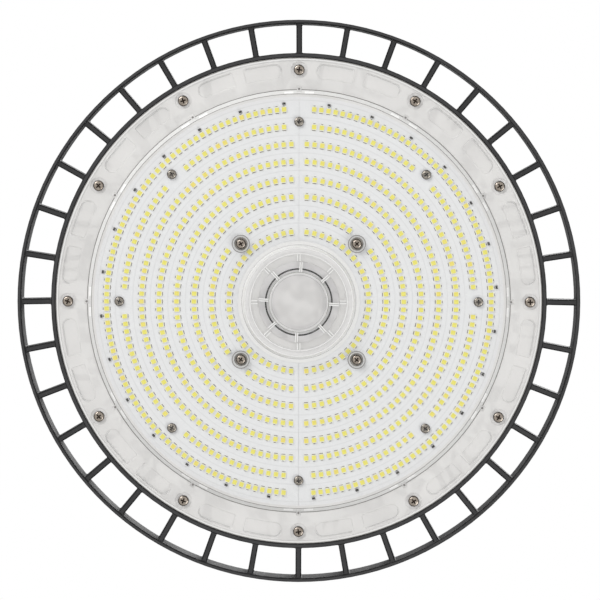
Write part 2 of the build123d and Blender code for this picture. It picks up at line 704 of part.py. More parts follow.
def screws_upward(seat, circle, count, start, head, head_height, shank, length):
    """Screws that point up, their heads below the seat, as one group of separate solids."""
    with BuildPart() as group:
        with BuildSketch(Plane.XY.offset(seat)):
            with PolarLocations(circle, count, start_angle=start):
                Circle(head)
        extrude(amount=-head_height)
        with BuildSketch(Plane.XY.offset(seat)):
            with PolarLocations(circle, count, start_angle=start):
                Circle(shank)
        extrude(amount=length)
        rims = group.edges().filter_by(GeomType.CIRCLE).group_by(Axis.Z)[0]
        chamfer(rims, head_height * HEAD_ROUND_HEIGHT, head * HEAD_ROUND_WIDTH)
    return group.part


board_screws = screws_upward(board_front, board_screw_circle, BOARD_SCREWS, 0, BOARD_SCREW_HEAD_RADIUS,
                             BOARD_SCREW_HEAD_HEIGHT, BOARD_SCREW_RADIUS, BOARD_SCREW_LENGTH)
board_screws.label = "board_screws"
export_step(board_screws, "parts/board_screws.step")

rim_screws = screws_upward(rim_seat, rim_screw_circle, RIM_SCREWS, 0, RIM_SCREW_HEAD_RADIUS,
                           RIM_SCREW_HEAD_HEIGHT, RIM_SCREW_RADIUS, RIM_SCREW_LENGTH)
rim_screws.label = "rim_screws"
export_step(rim_screws, "parts/rim_screws.step")

boss_screws = screws_upward(boss_seat - BOSS_SEAL_THICKNESS, boss_circle, BOSS_SCREWS, BOSS_ANGLE,
                            BOSS_SCREW_HEAD_RADIUS, BOSS_SCREW_HEAD_HEIGHT, BOSS_SCREW_RADIUS,
                            BOSS_SCREW_LENGTH)
boss_screws.label = "boss_screws"
export_step(boss_screws, "parts/boss_screws.step")

with BuildPart() as boss_seals:
    with BuildSketch(Plane.XY.offset(boss_seat)):
        with PolarLocations(boss_circle, BOSS_SCREWS, start_angle=BOSS_ANGLE):
            Circle(BOSS_SEAL_RADIUS)
            Circle(BOSS_SCREW_RADIUS, mode=Mode.SUBTRACT)
    extrude(amount=-BOSS_SEAL_THICKNESS)
boss_seals.part.label = "boss_seals"
export_step(boss_seals.part, "parts/boss_seals.step")

# Sensor socket on the plate, behind the cap
with BuildPart() as sensor_socket:
    with BuildSketch(Plane.XY.offset(plate_face)):
        Circle(SOCKET_RADIUS)
    extrude(amount=-SOCKET_HEIGHT)
    with BuildSketch(Plane.XY.offset(plate_face - SOCKET_HEIGHT)):
        Circle(SOCKET_RADIUS - SOCKET_WALL)
        with PolarLocations(SOCKET_RADIUS / 2, SOCKET_SLOTS):
            Rectangle(SOCKET_SLOT_LENGTH, SOCKET_WALL, mode=Mode.SUBTRACT)
    extrude(amount=SOCKET_HEIGHT - SOCKET_WALL, mode=Mode.SUBTRACT)
sensor_socket.part.label = "sensor_socket"
export_step(sensor_socket.part, "parts/sensor_socket.step")

# Rubber plug that seals the wires where they leave the casting
with BuildPart() as wire_seal:
    with BuildSketch(Plane.XY.offset(plate_face)):
        Circle(PASSAGE_RADIUS)
    extrude(amount=post_top - plate_face + HOUSING_FLOOR)
    with BuildSketch(Plane.XY.offset(inner_floor)):
        Circle(PASSAGE_RADIUS + SOCKET_WALL)
    extrude(amount=SOCKET_WALL)
wire_seal.part.label = "wire_seal"
export_step(wire_seal.part, "parts/wire_seal.step")

# Driver housing, cast, open at the top
with BuildPart() as driver_housing:
    with BuildSketch(Plane.XZ):
        with BuildLine():
            Polyline(
                (0, post_top),
                (HOUSING_RADIUS - HOUSING_FOOT, post_top),
                (HOUSING_RADIUS, post_top + HOUSING_FOOT),
                (HOUSING_RADIUS, housing_top),
                (HOUSING_RADIUS - LAND_WIDTH, housing_top),
                (HOUSING_RADIUS - LAND_WIDTH, housing_top - LAND_THICKNESS),
                (housing_inner, housing_top - LAND_THICKNESS - LAND_WIDTH / 2),
                (housing_inner, post_top + HOUSING_FOOT + HOUSING_WALL / 2),
                (housing_inner - HOUSING_FOOT, inner_floor),
                (0, inner_floor),
                close=True,
            )
        make_face()
    revolve(axis=Axis.Z)
    with BuildSketch(Plane.XY.offset(post_top + HOUSING_FOOT)):
        with PolarLocations(HOUSING_RADIUS, HOUSING_RIBS, start_angle=180 / HOUSING_RIBS):
            Rectangle(2 * HOUSING_RIB_PROUD, HOUSING_RIB_WIDTH)
    extrude(amount=rib_length)
    for side in (1, -1):
        with BuildSketch(Plane.YZ.offset(side * (HOUSING_RADIUS + BRACKET_BOSS_PROUD))):
            with Locations((0, bracket_z)):
                Circle(BRACKET_BOSS_RADIUS)
        extrude(amount=-side * BRACKET_BOSS_DEPTH)
    for side in (1, -1):
        with BuildSketch(Plane.XZ.offset(side * spot)):
            with Locations((0, post_top + HOUSING_FOOT + rib_length / 2)):
                Rectangle(SPOT_WIDTH, rib_length)
        extrude(amount=side * 2 * HOUSING_RIB_PROUD, mode=Mode.SUBTRACT)
    with BuildSketch(Plane.XY.offset(inner_floor - OVERLAP)):
        with PolarLocations(lid_screw_circle, LID_SCREWS):
            Circle(LID_POST_RADIUS)
    extrude(amount=housing_top - inner_floor + OVERLAP)
    with BuildSketch(Plane.XY.offset(housing_top)):
        with PolarLocations(lid_screw_circle, LID_SCREWS):
            Circle(LID_SCREW_RADIUS)
    extrude(amount=-(LID_SCREW_LENGTH - LID_THICKNESS - LID_GASKET + THREAD_END), mode=Mode.SUBTRACT)
    with BuildSketch(Plane.XY.offset(post_top)):
        Circle(PASSAGE_RADIUS)
        with PolarLocations(post_circle, POSTS, start_angle=POST_ANGLE):
            Circle(POST_SCREW_RADIUS + HOLE_GAP)
    extrude(amount=HOUSING_FLOOR, mode=Mode.SUBTRACT)
    for side in (1, -1):
        with BuildSketch(Plane.YZ.offset(side * (HOUSING_RADIUS + BRACKET_BOSS_PROUD))):
            with Locations((0, bracket_z)):
                Circle(BRACKET_HOLE_RADIUS)
        extrude(amount=-side * BRACKET_HOLE_DEPTH, mode=Mode.SUBTRACT)
    with BuildSketch(Plane.XZ.offset(-HOUSING_RADIUS)):
        with Locations((0, fitting_z)):
            Circle(GLAND_THREAD_RADIUS)
    extrude(amount=2 * HOUSING_WALL, mode=Mode.SUBTRACT)
    with BuildSketch(Plane.XZ.offset(HOUSING_RADIUS)):
        with Locations((0, fitting_z)):
            Circle(VALVE_THREAD_RADIUS)
    extrude(amount=-2 * HOUSING_WALL, mode=Mode.SUBTRACT)
driver_housing.part.label = "driver_housing"
export_step(driver_housing.part, "parts/driver_housing.step")

with BuildPart() as housing_screws:
    with BuildSketch(Plane.XY.offset(inner_floor)):
        with PolarLocations(post_circle, POSTS, start_angle=POST_ANGLE):
            Circle(POST_SCREW_HEAD_RADIUS)
    extrude(amount=POST_SCREW_HEAD_HEIGHT)
    with BuildSketch(Plane.XY.offset(inner_floor)):
        with PolarLocations(post_circle, POSTS, start_angle=POST_ANGLE):
            Circle(POST_SCREW_RADIUS)
    extrude(amount=-POST_SCREW_LENGTH)
housing_screws.part.label = "housing_screws"
export_step(housing_screws.part, "parts/housing_screws.step")

# Lid with its gasket and screws
with BuildPart() as lid_gasket:
    with BuildSketch(Plane.XY.offset(housing_top)):
        Circle(HOUSING_RADIUS - SLIP)
        Circle(HOUSING_RADIUS - LAND_WIDTH, mode=Mode.SUBTRACT)
        with PolarLocations(lid_screw_circle, LID_SCREWS):
            Circle(LID_SCREW_RADIUS + HOLE_GAP, mode=Mode.SUBTRACT)
    extrude(amount=LID_GASKET)
lid_gasket.part.label = "lid_gasket"
export_step(lid_gasket.part, "parts/lid_gasket.step")

with BuildPart() as housing_lid:
    with BuildSketch(Plane.XZ):
        with BuildLine():
            Polyline(
                (EYE_SHANK_RADIUS + HOLE_GAP, crown_underside),
                (lid_crown_radius - LID_THICKNESS, crown_underside),
                (lid_crown_foot - LID_THICKNESS, lid_seat),
                (HOUSING_RADIUS, lid_seat),
                (HOUSING_RADIUS, lid_top - LID_EDGE_CHAMFER),
                (HOUSING_RADIUS - LID_EDGE_CHAMFER, lid_top),
                (lid_crown_foot, lid_top),
                (lid_crown_radius, crown_top),
                (LID_BOSS_RADIUS + LID_BOSS_RISE, crown_top),
                (LID_BOSS_RADIUS, lid_boss_top),
                (EYE_SHANK_RADIUS + HOLE_GAP, lid_boss_top),
                close=True,
            )
        make_face()
    revolve(axis=Axis.Z)
    with BuildSketch(Plane.XY.offset(lid_seat)):
        with PolarLocations(lid_screw_circle, LID_SCREWS):
            Circle(LID_SCREW_RADIUS + HOLE_GAP)
    extrude(amount=LID_THICKNESS, mode=Mode.SUBTRACT)
housing_lid.part.label = "housing_lid"
export_step(housing_lid.part, "parts/housing_lid.step")

with BuildPart() as lid_screws:
    with BuildSketch(Plane.XY.offset(lid_top)):
        with PolarLocations(lid_screw_circle, LID_SCREWS):
            Circle(LID_SCREW_HEAD_RADIUS)
    extrude(amount=LID_SCREW_HEAD_HEIGHT)
    with BuildSketch(Plane.XY.offset(lid_top)):
        with PolarLocations(lid_screw_circle, LID_SCREWS):
            Circle(LID_SCREW_RADIUS)
    extrude(amount=-LID_SCREW_LENGTH)
lid_screws.part.label = "lid_screws"
export_step(lid_screws.part, "parts/lid_screws.step")

# Forged hanging eye through the lid, with washer and nut inside
shank_end = crown_underside - WASHER_THICKNESS - NUT_HEIGHT - EYE_SHANK_END
track_radius = EYE_RING_RADIUS - (EYE_BAR_RADIUS ** 2 - (EYE_LAND / 2) ** 2) ** 0.5
with BuildPart() as hanging_eye:
    with BuildSketch(Plane.XY.offset(lid_boss_top)):
        Circle(EYE_COLLAR_RADIUS)
    extrude(amount=EYE_COLLAR_HEIGHT, taper=EYE_COLLAR_TAPER)
    with BuildSketch(Plane.XY.offset(shank_end)):
        Circle(EYE_SHANK_RADIUS)
    extrude(amount=lid_boss_top - shank_end)
    with BuildSketch(Plane.XY.offset(eye_centre)):
        with Locations((EYE_RING_RADIUS, 0)):
            Circle(EYE_BAR_RADIUS)
    revolve(axis=Axis((0, 0, eye_centre), (0, 1, 0)))
    with BuildSketch(Plane.XZ.offset(-EYE_BAR_RADIUS)):
        with Locations((0, eye_centre)):
            Circle(track_radius)
    extrude(amount=2 * EYE_BAR_RADIUS, mode=Mode.SUBTRACT)
hanging_eye.part.label = "hanging_eye"
export_step(hanging_eye.part, "parts/hanging_eye.step")

with BuildPart() as eye_washer:
    with BuildSketch(Plane.XY.offset(crown_underside)):
        Circle(WASHER_RADIUS)
        Circle(EYE_SHANK_RADIUS, mode=Mode.SUBTRACT)
    extrude(amount=-WASHER_THICKNESS)
eye_washer.part.label = "eye_washer"
export_step(eye_washer.part, "parts/eye_washer.step")

with BuildPart() as eye_nut:
    with BuildSketch(Plane.XY.offset(crown_underside - WASHER_THICKNESS)):
        RegularPolygon(hexagon_radius(NUT_FLATS), 6)
        Circle(EYE_SHANK_RADIUS, mode=Mode.SUBTRACT)
    extrude(amount=-NUT_HEIGHT)
eye_nut.part.label = "eye_nut"
export_step(eye_nut.part, "parts/eye_nut.step")

# Cable gland, on the +Y side. Offsets of Plane.XZ run towards -Y.
with BuildPart() as gland_body:
    with BuildSketch(Plane.XZ.offset(-spot)):
        with Locations((0, fitting_z)):
            RegularPolygon(hexagon_radius(GLAND_FLATS), 6)
    extrude(amount=-GLAND_HEX_LENGTH)
    with BuildSketch(Plane.XZ.offset(-(spot - GLAND_SPIGOT_LENGTH))):
        with Locations((0, fitting_z)):
            Circle(GLAND_THREAD_RADIUS)
    extrude(amount=-(GLAND_SPIGOT_LENGTH + GLAND_HEX_LENGTH + GLAND_NECK_LENGTH))
    with BuildSketch(Plane.XZ.offset(-(spot - GLAND_SPIGOT_LENGTH))):
        with Locations((0, fitting_z)):
            Circle(GLAND_BORE)
    extrude(amount=-(GLAND_SPIGOT_LENGTH + GLAND_HEX_LENGTH + GLAND_NECK_LENGTH), mode=Mode.SUBTRACT)
gland_body.part.label = "gland_body"
export_step(gland_body.part, "parts/gland_body.step")

with BuildPart() as gland_cap:
    with BuildSketch(Plane.XZ.offset(-cap_start)):
        with Locations((0, fitting_z)):
            RegularPolygon(hexagon_radius(GLAND_CAP_FLATS), 6)
    extrude(amount=-(GLAND_CAP_LENGTH - GLAND_CAP_WALL))
    with BuildSketch(Plane.XZ.offset(-(cap_start + GLAND_CAP_LENGTH - GLAND_CAP_WALL))):
        with Locations((0, fitting_z)):
            Circle(GLAND_CAP_FLATS - GLAND_CAP_SHOULDER)
    extrude(amount=-GLAND_CAP_WALL, taper=GLAND_CAP_TAPER)
    with BuildSketch(Plane.XZ.offset(-cap_start)):
        with Locations((0, fitting_z)):
            Circle(GLAND_THREAD_RADIUS)
    extrude(amount=-(GLAND_CAP_LENGTH - GLAND_CAP_WALL), mode=Mode.SUBTRACT)
    with BuildSketch(Plane.XZ.offset(-cap_start)):
        with Locations((0, fitting_z)):
            Circle(GLAND_BORE - GLAND_CAP_LIP)
    extrude(amount=-GLAND_CAP_LENGTH, mode=Mode.SUBTRACT)
gland_cap.part.label = "gland_cap"
export_step(gland_cap.part, "parts/gland_cap.step")

with BuildPart() as gland_seal:
    with BuildSketch(Plane.XZ.offset(-spot)):
        with Locations((0, fitting_z)):
            Circle(GLAND_BORE)
            Circle(CABLE_RADIUS, mode=Mode.SUBTRACT)
    extrude(amount=-(cap_start - spot + GLAND_CAP_LENGTH - GLAND_CAP_WALL))
gland_seal.part.label = "gland_seal"
export_step(gland_seal.part, "parts/gland_seal.step")

gland_nut_seat = (housing_inner ** 2 - hexagon_radius(GLAND_FLATS) ** 2) ** 0.5
with BuildPart() as gland_nut:
    with BuildSketch(Plane.XZ.offset(-gland_nut_seat)):
        with Locations((0, fitting_z)):
            RegularPolygon(hexagon_radius(GLAND_FLATS), 6)
            Circle(GLAND_THREAD_RADIUS, mode=Mode.SUBTRACT)
    extrude(amount=GLAND_NUT_LENGTH)
gland_nut.part.label = "gland_nut"
export_step(gland_nut.part, "parts/gland_nut.step")

# Breather valve, on the -Y side
with BuildPart() as breather_valve:
    with BuildSketch(Plane.XZ.offset(spot)):
        with Locations((0, fitting_z)):
            Circle(VALVE_HEAD_RADIUS)
    extrude(amount=VALVE_HEAD_HEIGHT)
    chamfer(breather_valve.edges().group_by(Axis.Y)[0], VALVE_CHAMFER)
    with BuildSketch(Plane.XZ.offset(spot)):
        with Locations((0, fitting_z)):
            Circle(VALVE_THREAD_RADIUS)
    extrude(amount=-VALVE_TAIL)
    with BuildSketch(Plane.XZ.offset(spot - VALVE_TAIL)):
        with Locations((0, fitting_z)):
            Circle(VALVE_BORE)
    extrude(amount=VALVE_TAIL + VALVE_HEAD_HEIGHT / 2, mode=Mode.SUBTRACT)
breather_valve.part.label = "breather_valve"
export_step(breather_valve.part, "parts/breather_valve.step")

# Driver inside the housing
driver_floor = inner_floor + SPACER_HEIGHT
driver_deck = driver_floor + DRIVER_BOARD_THICKNESS
spacer_grid = (DRIVER_BOARD_LENGTH - 2 * SPACER_INSET, DRIVER_BOARD_WIDTH - 2 * SPACER_INSET)

with BuildPart() as driver_board:
    with BuildSketch(Plane.XY.offset(driver_floor)):
        RectangleRounded(DRIVER_BOARD_LENGTH, DRIVER_BOARD_WIDTH, DRIVER_BOARD_CORNER)
        with GridLocations(*spacer_grid, 2, 2):
            Circle(DRIVER_SCREW_RADIUS + HOLE_GAP, mode=Mode.SUBTRACT)
    extrude(amount=DRIVER_BOARD_THICKNESS)
driver_board.part.label = "driver_board"
export_step(driver_board.part, "parts/driver_board.step")

with BuildPart() as board_spacers:
    with BuildSketch(Plane.XY.offset(inner_floor)):
        with GridLocations(*spacer_grid, 2, 2):
            Circle(SPACER_RADIUS)
            Circle(DRIVER_SCREW_RADIUS, mode=Mode.SUBTRACT)
    extrude(amount=SPACER_HEIGHT)
board_spacers.part.label = "board_spacers"
export_step(board_spacers.part, "parts/board_spacers.step")

with BuildPart() as driver_screws:
    with BuildSketch(Plane.XY.offset(driver_deck)):
        with GridLocations(*spacer_grid, 2, 2):
            Circle(DRIVER_SCREW_HEAD_RADIUS)
    extrude(amount=DRIVER_SCREW_HEAD_HEIGHT)
    with BuildSketch(Plane.XY.offset(driver_deck)):
        with GridLocations(*spacer_grid, 2, 2):
            Circle(DRIVER_SCREW_RADIUS)
    extrude(amount=-DRIVER_SCREW_LENGTH)
driver_screws.part.label = "driver_screws"
export_step(driver_screws.part, "parts/driver_screws.step")

with BuildPart() as transformer:
    with BuildSketch(Plane.XY.offset(driver_deck)):
        Rectangle(COIL_LENGTH, COIL_WIDTH)
    extrude(amount=COIL_HEIGHT)
    with BuildSketch(Plane.XY.offset(driver_deck)):
        Rectangle(CORE_WIDTH, CORE_LENGTH)
    extrude(amount=CORE_HEIGHT)
transformer.part.label = "transformer"
export_step(transformer.part, "parts/transformer.step")

left_bay = -(COIL_LENGTH / 2 + CAPACITOR_RADIUS + BAY_GAP)
right_bay = COIL_LENGTH / 2 + CHOKE_RADIUS + BAY_GAP
with BuildPart() as capacitors:
    with BuildSketch(Plane.XY.offset(driver_deck)):
        with Locations((left_bay, 0)):
            with GridLocations(0, 2 * CAPACITOR_RADIUS + CAPACITOR_GAP, 1, CAPACITORS):
                Circle(CAPACITOR_RADIUS)
    extrude(amount=CAPACITOR_HEIGHT)
capacitors.part.label = "capacitors"
export_step(capacitors.part, "parts/capacitors.step")

with BuildPart() as filter_choke:
    with BuildSketch(Plane.XY.offset(driver_deck)):
        with Locations((right_bay, -DRIVER_BOARD_WIDTH / 4)):
            Circle(CHOKE_RADIUS)
            Circle(CHOKE_HOLE_RADIUS, mode=Mode.SUBTRACT)
    extrude(amount=CHOKE_HEIGHT)
filter_choke.part.label = "filter_choke"
export_step(filter_choke.part, "parts/filter_choke.step")

with BuildPart() as terminal_block:
    with BuildSketch(Plane.XY.offset(driver_deck)):
        with Locations((right_bay, DRIVER_BOARD_WIDTH / 4)):
            Rectangle(TERMINAL_LENGTH, TERMINAL_WIDTH)
    extrude(amount=TERMINAL_HEIGHT)
    with BuildSketch(Plane.XY.offset(driver_deck + TERMINAL_HEIGHT)):
        with Locations((right_bay, DRIVER_BOARD_WIDTH / 4)):
            with GridLocations(TERMINAL_LENGTH / TERMINALS, 0, TERMINALS, 1):
                Circle(TERMINAL_HOLE_RADIUS)
    extrude(amount=-TERMINAL_HOLE_DEPTH, mode=Mode.SUBTRACT)
terminal_block.part.label = "terminal_block"
export_step(terminal_block.part, "parts/terminal_block.step")
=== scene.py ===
"""Looks of the high bay light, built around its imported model. Metres, +Z up, LED side down."""

import logging
import math
from dataclasses import dataclass, field
from enum import Enum
from typing import Iterator, Optional, Sequence, Union

import bmesh
import bpy
from mathutils import Matrix, Quaternion, Vector


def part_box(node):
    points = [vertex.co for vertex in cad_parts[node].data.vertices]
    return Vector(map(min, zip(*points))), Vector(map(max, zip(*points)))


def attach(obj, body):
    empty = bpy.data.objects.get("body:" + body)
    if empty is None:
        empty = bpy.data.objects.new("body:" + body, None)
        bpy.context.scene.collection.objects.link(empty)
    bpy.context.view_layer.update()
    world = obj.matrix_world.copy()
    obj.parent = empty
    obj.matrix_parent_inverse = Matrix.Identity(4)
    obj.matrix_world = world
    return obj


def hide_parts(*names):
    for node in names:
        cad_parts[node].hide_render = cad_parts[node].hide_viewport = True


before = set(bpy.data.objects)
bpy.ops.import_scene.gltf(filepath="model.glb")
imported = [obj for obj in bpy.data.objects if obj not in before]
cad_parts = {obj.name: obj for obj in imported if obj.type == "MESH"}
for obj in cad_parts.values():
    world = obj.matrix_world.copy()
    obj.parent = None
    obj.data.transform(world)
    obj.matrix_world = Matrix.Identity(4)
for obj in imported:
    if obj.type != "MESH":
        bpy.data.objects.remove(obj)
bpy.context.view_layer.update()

LOG = logging.getLogger("high_bay_light")
MM = 0.001
# Corners of a solid that lie nearer than this are one, in millimetres
WELD_MM = 0.001
# Two noises added up lie mostly between these
NOISE_SUM = {"From Min": 0.7, "From Max": 1.3}
BODY = "root"

Tree = bpy.types.NodeTree
Socket = bpy.types.NodeSocket
Shape = bmesh.types.BMesh
NodeValue = Union[float, Sequence[float], Socket, bpy.types.Node]
Point = tuple[float, float]


def linear(code: str) -> tuple[float, float, float, float]:
    """Turns an sRGB hex value into linear light.

    Args:
        code: six hex digits after a hash.

    Returns:
        Red, green, blue and an alpha of one.
    """
    shares = [int(code[i:i + 2], 16) / 255 for i in (1, 3, 5)]
    light = [s / 12.92 if s <= 0.04045 else ((s + 0.055) / 1.055) ** 2.4 for s in shares]
    return (light[0], light[1], light[2], 1.0)


def add_node(tree: Tree, kind: str, settings: Optional[dict[str, object]] = None,
             inputs: Optional[dict[Union[str, int], NodeValue]] = None) -> bpy.types.Node:
    """Adds a shader node with its settings and its links.

    Args:
        tree: the tree that gets the node.
        kind: the node's type without its ShaderNode prefix.
        settings: the node's own attributes.
        inputs: a value, a socket or a node whose first output is linked, for each input by its name
            or place.

    Returns:
        The new node.
    """
    made = tree.nodes.new("ShaderNode" + kind)
    for name, value in (settings or {}).items():
        setattr(made, name, value)
    for key, value in (inputs or {}).items():
        if isinstance(value, bpy.types.Node):
            value = value.outputs[0]
        if isinstance(value, Socket):
            tree.links.new(value, made.inputs[key])
        else:
            made.inputs[key].default_value = value
    return made


def distance_from_axis(tree: Tree, place: Socket) -> Socket:
    """Adds the nodes that measure how far a point is from the light's vertical axis.

    Args:
        tree: the tree that gets the nodes.
        place: the point.

    Returns:
        The distance in metres.
    """
    parts = add_node(tree, "SeparateXYZ", inputs={0: place})
    flat = add_node(tree, "CombineXYZ", inputs={0: parts, 1: parts.outputs[1]})
    return add_node(tree, "VectorMath", {"operation": "LENGTH"}, {0: flat}).outputs["Value"]


def any_of(tree: Tree, *shares: Socket) -> Socket:
    """Adds the nodes that pick the largest of several shares.

    Args:
        tree: the tree that gets the nodes.
        shares: the shares, each from zero to one.

    Returns:
        The largest share.
    """
    largest = shares[0]
    for share in shares[1:]:
        largest = add_node(tree, "Math", {"operation": "MAXIMUM"}, {0: largest, 1: share}).outputs[0]
    return largest


def per_mm(size_mm: float) -> float:
    """Gives the texture scale whose features measure size_mm."""
    return 1 / (size_mm * MM)


@dataclass(frozen=True)
class Finish:
    """A finish of one real material. Its material is made once and shared."""

    name: str

    def surface(self, tree: Tree) -> bpy.types.Node:
        """Adds the finish's nodes.

        Args:
            tree: the tree of the new material.

        Returns:
            The shader node to show.
        """
        raise NotImplementedError

    def material(self) -> bpy.types.Material:
        """Returns the finish's material, made at its first use."""
        found = bpy.data.materials.get(self.name)
        if found is None:
            found = bpy.data.materials.new(self.name)
            found.use_nodes = True
            found.node_tree.nodes.clear()
            shown = self.surface(found.node_tree)
            add_node(found.node_tree, "OutputMaterial", inputs={"Surface": shown})
        return found


@dataclass(frozen=True)
class GrainedFinish(Finish):
    """An opaque finish with a fine grain in its colour, its gloss and its relief."""

    light: str
    dark: str
    roughness: float
    grain_mm: float
    relief_mm: float = 0.02
    metallic: float = 0.0
    gloss_spread: float = 0.06
    patch_mm: float = 14.0
    specular: float = 0.5
    # Tone of the painted shade on faces that don't lie flat; none if not given
    edge: Optional[str] = None
    edge_cosine: float = 0.75
    flat_cosine: float = 0.97

    def painted_slope_shade(self, tree: Tree, colour: Socket) -> Socket:
        """Adds painted shade: a darker tone on faces that don't lie flat, standing in for the shade on
        their slopes and edges.

        Args:
            tree: the tree of the new material.
            colour: the tone of the flat faces.

        Returns:
            The tone of all faces.
        """
        facing = add_node(tree, "SeparateXYZ", inputs={0: add_node(tree, "TexCoord").outputs["Normal"]})
        flat = add_node(tree, "Math", {"operation": "ABSOLUTE"}, {0: facing.outputs[2]})
        share = add_node(tree, "MapRange", inputs={
            "Value": flat, "From Min": self.edge_cosine, "From Max": self.flat_cosine})
        return add_node(tree, "Mix", {"data_type": "RGBA"}, {
            "Factor": share, 6: linear(self.edge), 7: colour}).outputs[2]

    def surface(self, tree: Tree) -> bpy.types.Node:
        """Adds grain, broad patches, gloss and relief on one Principled shader.

        Args:
            tree: the tree of the new material.

        Returns:
            The shader node to show.
        """
        place = add_node(tree, "TexCoord").outputs["Object"]
        grain = add_node(tree, "TexNoise", inputs={
            "Vector": place, "Scale": per_mm(self.grain_mm), "Detail": 3.0, "Roughness": 0.6})
        patch = add_node(tree, "TexNoise", inputs={
            "Vector": place, "Scale": per_mm(self.patch_mm), "Detail": 2.0})
        blend = add_node(tree, "Math", {"operation": "ADD"}, {0: grain, 1: patch})
        tone = add_node(tree, "MapRange", inputs={"Value": blend, **NOISE_SUM})
        colour = add_node(tree, "Mix", {"data_type": "RGBA"}, {
            "Factor": tone, 6: linear(self.dark), 7: linear(self.light)}).outputs[2]
        # Painted shade on faces that don't lie flat
        if self.edge:
            colour = self.painted_slope_shade(tree, colour)
        gloss = add_node(tree, "MapRange", inputs={
            "Value": blend, **NOISE_SUM,
            "To Min": self.roughness - self.gloss_spread,
            "To Max": self.roughness + self.gloss_spread})
        relief = add_node(tree, "Bump", inputs={
            "Strength": 1.0, "Distance": self.relief_mm * MM, "Height": grain})
        return add_node(tree, "BsdfPrincipled", inputs={
            "Base Color": colour, "Roughness": gloss, "Metallic": self.metallic,
            "Specular IOR Level": self.specular, "Normal": relief})


# Polyester powder coat, sprayed and baked: satin black with fine orange peel, and a darker painted
# shade on faces that don't lie flat
POWDER_COAT = GrainedFinish("powder_coat_black_baked", "#3e3e3f", "#333334", 0.6, 0.7, 0.012,
                            specular=0.16, edge="#202021")
# Die-cast aluminium, shot blasted: pale matt metal under the lens
BARE_CASTING = GrainedFinish("aluminium_cast_blasted", "#e6e4e2", "#d6d4d2", 0.45, 0.45, 0.008,
                             metallic=0.75)
# Silicone sheet, die cut: dull white, with a soft edge that shows as a faint line under the lens
WHITE_SILICONE = GrainedFinish("silicone_white_die_cut", "#d6d6d4", "#cbcbc9", 0.6, 0.5)
# Nitrile rubber, moulded: dull, with no highlight, so that it reads as a soft grey or black ring
GREY_RUBBER = GrainedFinish("rubber_grey_moulded", "#8f8a84", "#78736e", 0.5, 0.4)
BLACK_RUBBER = GrainedFinish("rubber_black_moulded", "#161616", "#0e0e0e", 0.55, 0.4)
# Epoxy moulding compound of a chip, transfer moulded: matt brownish black that shows no edge
BLACK_EPOXY = GrainedFinish("epoxy_black_moulded", "#2f2b2a", "#242120", 0.5, 0.2)
# Carbon steel, cold headed and nickel plated: bright with soft grain
PLATED_STEEL = GrainedFinish("steel_nickel_plated", "#b3aaa0", "#8b8177", 0.24, 0.5, 0.02,
                             metallic=1.0, gloss_spread=0.1, patch_mm=1.6)
# Painted shade on the screws: a dull brown-black steel on the walls of each recess and on the steep rim
# of each head
SCREW_PAINTED_SHADE = GrainedFinish("steel_painted_shade", "#4b4038", "#2c2521", 0.4, 0.4, 0.006,
                              metallic=1.0)
# Carbon steel, black oxide: dark oily sheen
BLACK_STEEL = GrainedFinish("steel_black_oxide", "#3a3a3d", "#29292b", 0.36, 0.5, 0.005,
                            metallic=1.0)
# Carbon steel, zinc plated: bluish grey, blurred reflections
ZINC_STEEL = GrainedFinish("steel_zinc_plated", "#bfc4c9", "#a3a8ae", 0.32, 1.2, 0.01,
                           metallic=1.0)
# Nylon, injection moulded on a spark-eroded tool: an even, slightly waxy sheen
WHITE_NYLON = GrainedFinish("nylon_white_moulded", "#f2f1ed", "#e8e6e1", 0.45, 0.4)
BLACK_NYLON = GrainedFinish("nylon_black_moulded", "#26272a", "#1b1c1e", 0.45, 0.35)
# Driver's own materials, out of sight behind the lid: pressed glass laminate with a green mask,
# glossy polyester tape round the windings, shrunk vinyl sleeves, and grainy sintered ferrite
GREEN_LAMINATE = GrainedFinish("laminate_green_pressed", "#1f5a3a", "#184b30", 0.4, 0.5)
YELLOW_TAPE = GrainedFinish("polyester_tape_yellow", "#d9b740", "#c9a534", 0.35, 0.8)
BLACK_SLEEVE = GrainedFinish("vinyl_sleeve_black_shrunk", "#26262a", "#1c1c1f", 0.3, 0.6)
FERRITE = GrainedFinish("ferrite_sintered", "#3b3a39", "#2c2b2a", 0.7, 0.3)
# Polyamide of the LED body, moulded: bright white
LED_BODY = GrainedFinish("polyamide_white_moulded", "#efeee6", "#e4e2d8", 0.4, 0.3, 0.003)
# Solder on the copper pads, reflowed: grey brown with a dull shine
SOLDER = GrainedFinish("solder_tin_reflowed", "#9f9686", "#7d7363", 0.38, 0.25, 0.006,
                       metallic=0.6)


